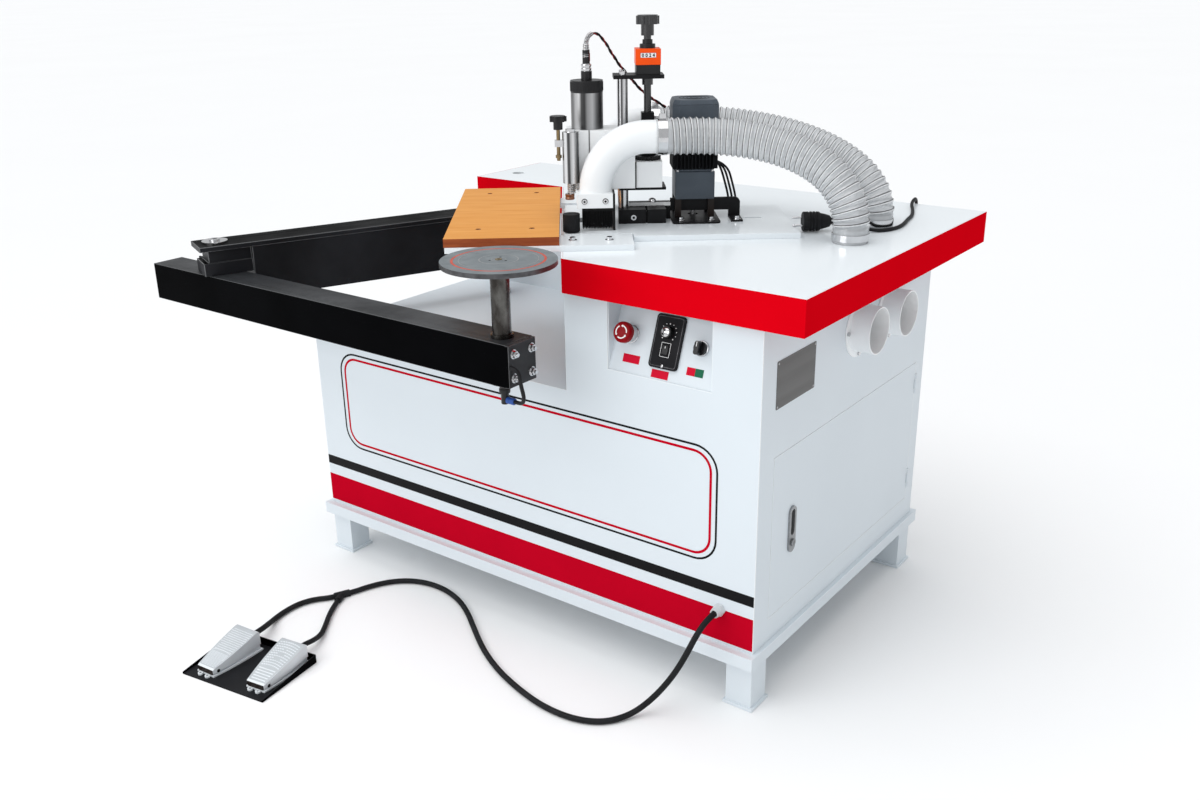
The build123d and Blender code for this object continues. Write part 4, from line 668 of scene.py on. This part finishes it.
RIB = 13.0
RIB_REACH = 38.6
WIRE_REACH, WIRE_TURN = 38.7, 0.9
CUFF = 26
CUFF_RADIUS = 37.5
RIB_DEPTH = 3.0
VALLEY = 1.1
for node, ends in (
    ("hose_front", ((207, 226, 1106), (605, 91, 900.5), 70, 30, 200, 130)),
    ("hose_rear", ((207, 440, 1106), (694, 235, 900.5), 70, 30, 240, 120)),
):
    line, length = paced(hose_line(*ends), RIB / 8)
    pace = length / (len(line) - 1)

    def wall(index, share):
        along = index * pace
        ease = max(0.0, min(1.0, (along - CUFF) / 10, (length - CUFF - along) / 10))
        phase = (along / RIB - share) % 1.0
        rise = 1 - abs(2 * phase - 1)
        rise = rise * rise * (3 - 2 * rise)
        return CUFF_RADIUS + ease * (RIB_DEPTH * rise - VALLEY)

    shape = Shape().tube(line, wall, 44)
    shape.faces = [face for face in shape.faces if len(face) == 4]
    skin = shape.make(node + "_wall", HEAD, clear_wall, "clear_hose", angle=80)
    thick = skin.modifiers.new("wall", "SOLIDIFY")
    thick.thickness = 0.0007
    thick.offset = -1
    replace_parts(skin, node)
    crest, strand, side = [], [], None
    fine = paced(line, RIB / 26)[0]
    fine_pace = length / (len(fine) - 1)
    for index, point in enumerate(fine):
        ahead = heading(fine, index)
        side = carry(side, ahead)
        along = index * fine_pace
        if CUFF + 7 < along < length - CUFF - 7:
            angle = math.tau * (along / RIB - 0.5)
            crest.append(point + outward(side, ahead, angle) * RIB_REACH)
            strand.append(point + outward(side, ahead, angle + WIRE_TURN) * WIRE_REACH)
    # A bright tube along the crests paints the ribs' highlight
    tubed(node + "_rib", HEAD, crest, 1.3, 8, rib_painted_highlight, "clear_hose")
    tubed(node + "_wire", HEAD, strand, 0.9, 6, wire, "machined_steel")

# Brush strands under the front hood
BRUSH_LOW, BRUSH_HIGH = (46.4, 189.6), (112.6, 200.4)
BRUSH_ROOT = 957.5
strands = Shape()
strands.box(46.4, 112.6, 189.4, 200.6, 956.4, 961.6)
for row in range(8):
    for column in range(110):
        seed = row * 131 + column * 17
        u = 47.0 + 65.0 * column / 109 + 0.35 * math.sin(seed * 1.37)
        v = 190.4 + 1.31 * row + 0.45 * math.sin(seed * 2.11)
        lean_u, lean_v = 1.6 * math.sin(seed * 0.73), 1.1 * math.cos(seed * 1.91)
        tip = 917.0 + 2.2 * (1 + math.sin(seed * 3.3))
        verts = []
        for share, reach in ((0, 0.30), (0.5, 0.30), (1, 0.15)):
            bend = share * share
            middle = min(BRUSH_HIGH[1], max(BRUSH_LOW[1], v + lean_v * bend))
            for x, y in circle(u + lean_u * bend, middle, reach, 3, seed):
                x = min(BRUSH_HIGH[0], max(BRUSH_LOW[0], x))
                verts.append((x, y, BRUSH_ROOT + (tip - BRUSH_ROOT) * share))
        faces = [[k + a, k + (a + 1) % 3, k + 3 + (a + 1) % 3, k + 3 + a] for k in (0, 3) for a in range(3)]
        strands.add(verts, faces + [[2, 1, 0], [6, 7, 8]])
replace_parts(strands.make("brush_strands", HEAD, fibre, "brush_fibre", angle=80), "dust_brush")


# Finishes of the CAD nodes, with tests of a face's middle and normal
def is_top(c, n):
    return n.z > 0.7


def is_side(c, n):
    return abs(n.z) < 0.5


def is_toe(c, n):
    return n.y < -0.9 and 7 < c.z < 19 and abs(n.z) < 0.2


def is_slope(c, n):
    return n.z > 0.9 and c.z < 52


def in_head(c):
    return HEAD.inverted() @ (c * 0.001)


def in_bore(c, n):
    for y in (11, 166):
        if math.hypot(c.y - y, c.z - 725) < 49 and (c.y - y) * n.y + (c.z - 725) * n.z < -10:
            return True
    return False


def on_button_base(c, n):
    return (c - Vector((317, -400, 682))).dot(Vector(PANEL_OUT)) < 24


def on_strip(c, n):
    return 942 < c.z < 950 and is_side(c, n) and 150 < in_head(c).x < 247 and in_head(c).y > 304


def on_nut_or_foot(c, n):
    return c.z < 989.2 or (c.z > 1046.5 and 180 < in_head(c).x < 210 and 295 < in_head(c).y < 325)


def round_at(spot, reach, low=0, high=2000):
    """Upright faces within reach of an axis of the head, between two heights."""
    def test(c, n):
        return is_side(c, n) and low < c.z < high and (in_head(c) - Vector((*spot, c.z))).length < reach
    return test


for node, finish, bevel in (
    ("cabinet_shell", white, 0.7), ("cabinet_deck", white, 0.7), ("table_top", white_table, 0.8),
    ("dust_elbow_front", plastic_white, 1.0), ("dust_elbow_rear", plastic_white, 1.0),
    ("dust_ducts", duct_metal, 0.5), ("handle_plate", zinc, 1.2), ("door_latch", zinc, 0.5),
    ("speed_controller", controller_black, 0.8), ("speed_knob", plastic_black, 0.5),
    ("rocker_switch", plastic_black, 0.4), ("selector_knob", plastic_black, 0.6),
    ("cable_glands", plastic_grey, 0.7), ("base_plates", white_table, 0.8), ("top_bracket", black_oxide, 0.6),
    ("upper_cutter", steel, 0.3), ("lower_spindle", steel, 0.6), ("lower_cutter", steel, 0.3),
    ("feed_pulley", steel, 0.4), ("feed_roller", rubber, 0.5), ("feed_belt", rubber, 0.3),
    ("shoulder_post", steel, 0.8), ("forearm_fasteners", chrome, 0.5), ("vacuum_fitting", plastic_black, 0.4),
    ("pedal_bases", casting, 0.7), ("cord_splitter", rubber, 1.2), ("fasteners", chrome, 0.4),
):
    dress(node, finish, bevel)
# Frame, panels, door and tray with painted highlights on their rounded edges
for node, bevel in (
    ("base_frame", 1.2), ("cabinet_front", 0.7), ("cabinet_right", 0.7), ("door", 0.7), ("control_tray", 0.6),
):
    dress(node, white, bevel, highlight_edges=white_painted_highlight)
# Pedals: the slope under the treads darker as painted shade
for node in ("pedal_left", "pedal_right"):
    dress(node, casting, 1.2, (post_brown, is_toe), (casting_painted_shade, is_slope))
dress("table_rim", red, 0.8, (white_table, is_top))
# Dust ports with their bores brighter as painted light
dress("dust_ports", plastic_white, 0.8, (bore_painted_light, in_bore))
dress("estop_button", plastic_red, 0.6, (plastic_black, on_button_base))
dress("support_board", wood_face, 0.8, (wood_edge, is_side))
# Slide rail with its strip in near-white as painted reflection
dress("slide_rail", black_oxide, 0.8, (strip_painted_reflection, on_strip))
# Round faces of the columns, the spindle and the tracer below carry painted reflections
dress("guide_columns", chrome, 0.6, (column_painted_reflection, round_at(COLUMN, 20)))
dress("position_indicator", orange, 1.4, (plastic_black, lambda c, n: c.z < 1249.5 or c.z > 1282.2))
# Star knob with a painted highlight on its rounded edges
dress("height_screw", star_black, 0.7, highlight_edges=black_painted_highlight)
dress("head_carriage", aluminium, 0.8, (black_oxide, on_nut_or_foot))
dress("spindle_motor", spindle_painted_reflection, 0.6,
      (plastic_black, lambda c, n: 1193 <= c.z < 1237 or 1252 < c.z <= 1280),
      (chrome, lambda c, n: 1237 <= c.z <= 1252))
dress("tracer_unit", chrome, 0.6, (tracer_painted_reflection, round_at(TRACER, 19, 1008, 1117)))
# Tracer knob with a painted highlight on its rounded edges
dress("tracer_knob", plastic_black, 0.6, (bronze, lambda c, n: c.z < 1121), highlight_edges=black_painted_highlight)
dress("motor_stand", post_brown, 0.8, (black_oxide, lambda c, n: c.z < 916.2))
# Upper arm: sides in the lighter cloudy black as painted reflection, top in plain black, painted highlights
# on rounded edges
dress("upper_arm", black_painted_reflection, 1.6, (black_paint, is_top), highlight_edges=black_painted_highlight)
# Forearm: top and outer end lighter as painted light, painted highlights on its rounded edges
dress("forearm", black_paint, 2.0, (black_painted_lit_top, is_top), (black_painted_lit_top, lambda c, n: n.x > 0.9), highlight_edges=black_painted_highlight)
dress("suction_disc", filmed, 0.6, (disc_face, lambda c, n: c.z > 928.4 and n.z > 0.5),
      (dark_steel, lambda c, n: c.z > 920.4 and is_side(c, n)))
# Pedal tray: its top in the lighter cloudy black as painted reflection
dress("pedal_tray", black_paint, 0.6, (black_painted_reflection, is_top))

# Stripes and the double frame on the front
for name, finish, slot, low, high, outer, inner in (
    ("front_stripe_black", black_vinyl, "black_enamel", 244.5, 268, (-551.5, 543.5, 312, 567, 54),
     (-547, 539, 316.5, 562.5, 49.5)),
    ("front_stripe_red", red_vinyl, "red_enamel", 142, 216, (-537.5, 529.5, 324, 555, 43),
     (-532, 524, 329.5, 549.5, 37.5)),
):
    stripe = Shape()
    stripe.box(-632.6, 632.6, low, high, *DECAL)
    stripe.ring(rounded(*outer), rounded(*inner), *DECAL)
    stripe.make(name, FRONT, finish, slot)

# Bare plate on the right face
plate = Shape().plate(rounded(-346, -187, 650, 748, 2.5, 3), 0.05, 0.8)
plate.make("bare_plate", RIGHT, plate_metal, "machined_steel", bevel=0.15)
rivets = Shape()
for y in (-341, -192):
    for z in (655, 743):
        rivets.turn(y, z, [(0, 0.8), (2.4, 0.8), (2.2, 1.5), (1.2, 2.0), (0, 2.1)], 16)
rivets.make("plate_rivets", RIGHT, steel, "machined_steel")

# Cup behind the door's pull, and the lip under the control recess
cup = Shape().plate(rounded(-264.5, -249.5, 355.9, 399.1, 7), -10.8, -10.2)
cup.make("pull_cup", RIGHT, zinc, "machined_steel", "door", bevel=0.2)
Shape().box(277.6, 524.4, 680.05, 681.9, -6, -0.1).make("recess_lip", FRONT, white, "white_enamel")

# Plain labels, collars and marks on the control panel
labels = Shape()
labels.box(-93, -53, 20, 37, *DECAL)
labels.box(-20, 20, 2, 18.5, *DECAL)
labels.box(59, 78, 21, 37, *DECAL)
labels.make("labels_red", PANEL, label_red, "red_plastic")
Shape().box(78, 97, 21, 37, *DECAL).make("label_green", PANEL, green_vinyl, "grey_plastic")
collar = Shape()
collar.turn(*ESTOP, [
    (15.1, 0.1), (18.5, 0.1), (18.5, 2.5), (17.2, 3.4), (16.4, 15.4), (15.6, 16.2), (7.3, 16.2), (7.3, 16.0),
    (15.1, 16.0), (15.1, 0.1),
])
collar.turn(83, 77, [(14.1, 0.1), (16.2, 0.1), (16.2, 1.5), (14.8, 3.9), (14.1, 4.1), (14.1, 0.1)])
collar.make("button_collars", PANEL, chrome, "polished_steel")


def spoke(radius, degrees):
    """A point about the emergency stop's axis."""
    angle = math.radians(degrees)
    return radius * math.cos(angle) + ESTOP[0], radius * math.sin(angle) + ESTOP[1]


arrows = Shape()
for first in (0, 120, 240):
    outline = [spoke(13.7, first + a) for a in range(0, 86, 5)]
    outline += [spoke(15.1, first + 86), spoke(12.5, first + 101), spoke(9.5, first + 86)]
    outline += [spoke(11.2, first + a) for a in range(85, -1, -5)]
    arrows.plate(outline, 38.45, 38.85)
arrows.make("mushroom_arrows", PANEL, label_white, "grey_plastic", "estop_button")
marks = Shape()
for index in range(11):
    angle = math.radians(225 - 27 * index)
    reach = 18.0 if index % 5 else 17.2
    x, y = SPEED_KNOB[0] + reach * math.cos(angle), SPEED_KNOB[1] + reach * math.sin(angle)
    marks.rod(x, y, 6.0, 6.25, 0.9 if index % 5 else 1.3, 10)
marks.ring(rounded(-6, 16, 45.5, 74.5, 1.5, 3), rounded(-5.2, 15.2, 46.3, 73.7, 1.0, 3), 6.0, 6.25)
marks.make("controller_marks", PANEL, label_white, "grey_plastic")
for name, body, sides in (
    ("rocker_mark", "rocker_switch", (4.3, 5.7, 63.2, 67.2, 8.0, 8.2)),
    ("selector_mark", "selector_knob", (82.3, 83.7, 79.5, 89.0, 24.4, 24.7)),
):
    Shape().box(*sides).make(name, PANEL, label_white, "grey_plastic", body)
frame_line = Shape().ring(rounded(-25, 35, 26, 126, 5), rounded(-24.2, 34.2, 26.8, 125.2, 4.4), 6.0, 6.4)
frame_line.make("controller_edge", PANEL, dark_steel, "machined_steel")
knob_cap = Shape().turn(*SPEED_KNOB, [(0, 18.3), (9.2, 18.3), (9.4, 19.0), (8.2, 19.8), (0, 20.0)], 32)
knob_cap.make("knob_cap", PANEL, chrome, "polished_steel", "speed_knob")
screw = Shape().turn(5, 27.5, [(0, 5.9), (3.2, 5.9), (3.0, 7.2), (1.8, 7.8), (0, 7.9)], 20)
screw.make("controller_screw", PANEL, chrome, "polished_steel")

# Feed motor: gearbox, finned body and cap
motor = Shape()
motor.plate(rounded(256, 344, 294, 382, 4), 957, 1018)
motor.plate(rounded(258.5, 341.5, 296.5, 379.5, 4), 1018, 1023)
cap = [(263, 286), (337, 286), (351, 300), (351, 376), (337, 390), (263, 390), (249, 376), (249, 300)]
motor.plate(cap, 1122, 1163)
motor.plate(cap, 1163, 1173.6, 0.91)
motor.make("motor_cases", HEAD, motor_grey, "motor_black", bevel=1.6)
fins = Shape()
fins.plate(rounded(260, 340, 298, 378, 6), 1023, 1122)
for index in range(11):
    across, deep = (middle - 40 + 8 * index for middle in FEED_MOTOR)
    for v0, v1 in ((288, 298.5), (377.5, 388)):
        fins.box(across - 1.4, across + 1.4, v0, v1, 1024, 1121)
    for u0, u1 in ((250, 260.5), (339.5, 350)):
        fins.box(u0, u1, deep - 1.4, deep + 1.4, 1024, 1121)
for radius in (8, 16, 24, 32):
    fins.ring(circle(*FEED_MOTOR, radius + 1.6, 40), circle(*FEED_MOTOR, radius, 40), 1173.4, 1174)
motor_fins = fins.make("motor_fins", HEAD, motor_black, "motor_black", bevel=0.4)
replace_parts(motor_fins, "feed_motor")
bolts = Shape()
for u in (262, 338):
    for v in (300, 376):
        bolts.turn(u, v, [(0, 1018), (3.6, 1018), (3.6, 1021.6), (2.8, 1022.2), (0, 1022.2)], 16)
bolts.make("gearbox_bolts", HEAD, chrome, "polished_steel")
for index in range(3):
    side, depth = 8.5 * index, 3 * index
    line = route("motor_lead_line", [
        (341, 352 + depth, 1030), (353, 351 + depth, 1034), (364 + side, 347 + depth, 1016),
        (373 + side, 343 + depth, 985), (382 + side, 340 + depth, 950), (386 + side, 342 + depth, 915.2),
    ])
    tubed(f"motor_lead_{index}", HEAD, line_of(line), 2.5, 10, rubber, "black_rubber")

# Spindle and tracer: grip ridges, springs, connector rings, a mark and the copper roller
grip = Shape()
for u, v in circle(*SPINDLE, 35.5, 60):
    grip.rod(u, v, 1196, 1215, 0.7, 6)
grip.make("spindle_grip", HEAD, plastic_black, "black_plastic", "carriage")
wrap, side = [], None
for index, point in enumerate(cable_line[4:26]):
    ahead = (cable_line[index + 5] - cable_line[index + 3]).normalized()
    side = carry(side, ahead)
    for step in range(8):
        angle = math.tau * (index + step / 8) / 1.7
        reach = 0.0052 - 0.00004 * index
        wrap.append((point + ahead * CABLE_STEP * step / 8 + outward(side, ahead, angle) * reach) * 1000)
tubed("cable_spring", PART, wrap, 0.8, 6, chrome, "polished_steel", "carriage")
coil = helix(SPINDLE, 7.6, 6.0, 1264, 1292.5, 0.36, 140)
tubed("spindle_coil", HEAD, coil, 1.05, 6, chrome, "polished_steel", "carriage")
rings = Shape()
for low in (1237.6, 1245.2):
    rings.turn(*SPINDLE, [
        (10.05, low), (11.4, low + 0.6), (11.8, low + 3), (11.4, low + 5.4), (10.05, low + 6), (10.05, low),
    ], 32)
rings.make("connector_rings", HEAD, chrome, "polished_steel", "carriage")
mark = Shape().plate([(70.3, 305.6), (71.3, 305.9), (71.3, 309.4), (70.3, 309.2)], 1257, 1274)
mark.make("connector_mark", HEAD, cable_red, "red_plastic", "carriage")
roller = Shape().turn(21, 246, [
    (9.05, 971.6), (10.2, 972.4), (10.2, 976), (9.4, 978), (10.2, 980), (10.2, 983.6), (9.05, 984.4),
    (9.05, 971.6),
], 32)
roller.make("tracer_roller", HEAD, copper, "polished_steel", "carriage")
coil = helix(TRACER, 8.4, 8.4, 986, 1007, 0.4, 78)
tubed("tracer_spring", HEAD, coil, 1.1, 6, steel, "polished_steel", "carriage")

# Serrated nut on the carriage, the seam beside it, the rail's cap nut and the feed roller's ridges
teeth, roots = circle(*HEIGHT_SCREW, 29.5, 96), circle(*HEIGHT_SCREW, 27.2, 96)
rim = [teeth[k] if k % 4 < 2 else roots[k] for k in range(96)]
nut = Shape().ring(rim, circle(*HEIGHT_SCREW, 20.5, 96), 1046.1, 1055)
nut.make("carriage_nut", HEAD, plastic_black, "black_plastic", "carriage")
seam = Shape().box(165.2, 168.0, 266.6, 271.9, 990, 1046)
seam.make("carriage_seam", HEAD, black_oxide, "blackened_steel", "carriage")
dome = Shape().turn(206, 315, [(0, 950), (8.5, 950), (8.5, 953), (7.0, 956.5), (3.5, 958.4), (0, 958.8)], 24)
dome.make("rail_cap_nut", HEAD, chrome, "polished_steel")
ridges = Shape()
for u, v in circle(*ROLLER, 17.6, 36):
    ridges.rod(u, v, 915.5, 951.5, 0.95, 8)
ridges.make("roller_ridges", HEAD, rubber, "blackened_steel", "feed_roller", angle=80)

# The indicator's window with its figures
window = Shape().box(178.6, 211.4, 281.2, 281.8, 1264.4, 1273.6)
window.make("indicator_window", HEAD, label_white, "grey_plastic")
FACE = Matrix.Translation((0, 0, -280.9))
for index, digit in enumerate("0024"):
    text = bpy.data.curves.new("digit", "FONT")
    text.body = digit
    text.size = 9.6
    text.align_x = "CENTER"
    text.extrude = 0.15
    text.offset = 0.25
    holder = bpy.data.objects.new("digit", text)
    mesh = bpy.data.meshes.new_from_object(holder)
    mesh.transform(UPRIGHT @ FACE @ Matrix.Translation((183.4 + 7.7 * index, 1265.8, 0)))
    mesh.materials.clear()
    mesh.materials.append(black_vinyl)
    number = bpy.data.objects.new(f"indicator_digit_{index}", mesh)
    scene.collection.objects.link(number)
    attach(number, "machine")

# Seal, turned lines and nut of the suction disc
seal = Shape().ring(circle(0, 0, 91.8, 96), circle(0, 0, 87.2, 96), 928.6, 930.0)
seal.make("disc_seal", DISC, seal_red, "red_plastic", "suction_disc")
hub = Shape()
for outer, inner, count in ((77.4, 76.0, 96), (38.4, 36.6, 72), (14.6, 13.8, 48)):
    hub.ring(circle(0, 0, outer, count), circle(0, 0, inner, count), 929.9, 930.15)
hub.make("disc_lines", DISC, steel, "disc_steel", "suction_disc")
hub = Shape().ring(circle(0, 0, 7.5, 6), circle(0, 0, 3.4, 6), 929.0, 931.0)
hub.make("disc_nut", DISC, bronze, "disc_steel", "suction_disc", bevel=0.3)

# Vacuum fitting: elbow, blue collar and its short hose
fitting = Shape()
fitting.turn(907.03, 0, [
    (0, 660), (11, 660), (11.4, 662), (11.4, 668), (10.2, 669), (10.2, 678.9), (0, 678.9),
], 24)
fitting.turn(907.03, 0, [(0, 636.5), (7.2, 636.5), (8, 638), (8, 660), (0, 660)], 24)
fitting_body = fitting.make("vacuum_elbow", ARM, plastic_black, "black_plastic", "forearm")
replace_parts(fitting_body, "vacuum_fitting")
loop = route("loop_line", [
    (957.8, -35, 731), (977, -35, 731), (978, -31, 697), (974, -18, 667), (958, -6, 648), (933, 0, 645),
    (912, 0, 645),
])
tubed("vacuum_hose", ARM, line_of(loop), 4.0, 14, rubber, "black_rubber", "forearm")
COLLAR = ARM @ Matrix.Translation((0, 0, 645)) @ SIDEWAYS
collar = Shape().turn(0, 0, [
    (4.05, 914), (7, 914), (7, 922), (6.2, 923), (7, 924), (7, 931), (6.2, 933), (4.05, 933), (4.05, 914),
], 24)
collar.make("vacuum_collar", COLLAR, plastic_blue, "black_plastic", "forearm")


# Treads on the pedals
UP_SLOPE = Vector((0, 0.9676, 0.2524))
OFF_SLOPE = Vector((0, -0.2524, 0.9676))


def tread(x, along, high):
    """A point on the pedal's slope: across, up the slope as a share, and off its face."""
    return Vector((x, 5 + 115 * along, 21 + 30 * along)) + OFF_SLOPE * high


def stud(shape, x, along, wide, long, high):
    """A low pad with sloped sides."""
    verts = []
    for scale, lift in ((1.0, 0.0), (0.62, high)):
        for sx, sy in ((-1, -1), (1, -1), (1, 1), (-1, 1)):
            verts.append(tread(x + sx * wide * scale, along, lift) + UP_SLOPE * (sy * long * scale))
    shape.add(verts, [[3, 2, 1, 0], [4, 5, 6, 7], [0, 1, 5, 4], [1, 2, 6, 5], [2, 3, 7, 6], [3, 0, 4, 7]])


def half_width(along):
    """Half the width that the studs may take at a place on the slope."""
    share = (5 + 115 * along) / 131
    return 24 + 9.5 * share + 12.8 * share * (1 - share) - 4.5


LINE_LOW, LINE_HIGH = 0.36, 0.41
dots = Shape()
for row in range(40):
    along = 0.03 + 0.94 * row / 39
    upper = along > LINE_HIGH
    if LINE_LOW < along < LINE_HIGH or (upper and row % 2):
        continue
    pitch = 3.0 if along < LINE_LOW else 4.0
    count = int(half_width(along) / pitch)
    shift = pitch / 2 if row % 4 == 2 and upper else 0
    for column in range(-count, count + 1):
        stud(dots, column * pitch + shift, along, pitch * 0.34, pitch * 0.30, 0.55)
reach = half_width(0.38)
for index in range(25):
    x = -reach + 2 * reach * index / 24
    stud(dots, x, 0.385 + 0.03 * (1 - (x / reach) ** 2), 1.2, 0.7, 0.6)
dots.make("tread_left", PEDAL_LEFT, casting, "grey_casting", "pedal_left")
bars = Shape()
for row in range(5):
    along = 0.05 + 0.062 * row
    stud(bars, 0, along, half_width(along) - 2, 1.5, 0.9)
for row in range(11):
    along = 0.37 + 0.058 * row
    wide = half_width(along)
    for column in range(-4, 5):
        x = column * wide / 4.6
        bow = 0.035 * (1 - (x / wide) ** 2)
        if (x / (wide * 0.42)) ** 2 + ((along + bow - 0.66) / 0.16) ** 2 < 1 and row % 2:
            continue
        stud(bars, x, along + bow, wide / 11, 1.3, 0.9)
bars.make("tread_right", PEDAL_RIGHT, casting, "grey_casting", "pedal_right")
PIVOT = Matrix.Translation((0, 14, 12)) @ SIDEWAYS
ends = Shape().turn(0, 0, [(0, -27.2), (3.4, -27.2), (3.9, -26.6), (3.9, 26.6), (3.4, 27.2), (0, 27.2)], 20)
for name, matrix in (("pivots_left", PEDAL_LEFT), ("pivots_right", PEDAL_RIGHT)):
    ends.make(name, matrix @ PIVOT, black_oxide, "blackened_steel")
toes = Shape().box(-22, 22, -0.6, -0.05, 6.6, 18.0)
for name, matrix, body in (("toe_left", PEDAL_LEFT, "pedal_left"), ("toe_right", PEDAL_RIGHT, "pedal_right")):
    toes.make(name, matrix, post_brown, "black_plastic", body, bevel=0.3)

# Black discs on the screw heads as the painted shade of their sockets, and dark rings as painted shade round
# two of them
sockets = Shape()
for spots, radius, low in (
    (((-175, 557), (-61, 557), (-175, 152), (-61, 151)), 2.6, 928.9),
    (((24.8, 107.5), (101.7, 104.5)), 3.2, 918.9),
    (((266.5, 263), (333.5, 263), (391, 268)), 3.0, 923.9),
):
    for spot in spots:
        sockets.plate(circle(*spot, radius, 6), low, low + 0.25)
sockets.make("screw_socket_shade", HEAD, black_vinyl, "blackened_steel")
sockets = Shape()
for spot in ((52, 977), (97, 977)):
    sockets.plate(circle(*spot, 2.6, 6), -184.9, -184.6)
    sockets.ring(circle(*spot, 6.3, 24), circle(*spot, 4.7, 24), -187.95, -187.6)
sockets.plate(circle(161, 926, 3.2, 6), -255.9, -255.6)
sockets.make("upright_socket_shade", UPRIGHT, black_vinyl, "blackened_steel")

# Stage and light
ground = bpy.data.meshes.new("floor")
ground.from_pydata([(-80, -80, 0), (80, -80, 0), (80, 80, 0), (-80, 80, 0)], [], [[0, 1, 2, 3]])
floor = bpy.data.objects.new("floor", ground)
floor.location.z = -0.0005
ground.materials.append(surface("floor_paint", (0.90, 0.905, 0.91), 0.7, 0.01, 0.5))
scene.collection.objects.link(floor)
floor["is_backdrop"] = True

world = bpy.data.worlds.new("studio")
scene.world = world
world.use_nodes = True
put(world.node_tree.nodes["Background"], Color=(0.97, 0.985, 1.0, 1), Strength=0.64)
sun = bpy.data.lights.new("overhead", "SUN")
sun.energy = 1.60
sun.angle = math.radians(70)
front = bpy.data.lights.new("front", "AREA")
front.energy = 20
front.shape = "RECTANGLE"
front.size, front.size_y = 2.2, 0.8
for light, place, target in (
    (sun, (-0.8, -1.0, 4.0), (0, 0, 0)),
    (front, (-0.4, -2.9, 1.75), (0.05, -0.4, 0.90)),
):
    lamp = bpy.data.objects.new(light.name, light)
    lamp.location = place
    lamp.rotation_euler = (Vector(target) - Vector(place)).to_track_quat("-Z", "Y").to_euler()
    scene.collection.objects.link(lamp)
scene.view_settings.view_transform = "Standard"
scene.view_settings.look = "None"
scene.view_settings.exposure = 0.0

low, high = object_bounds()
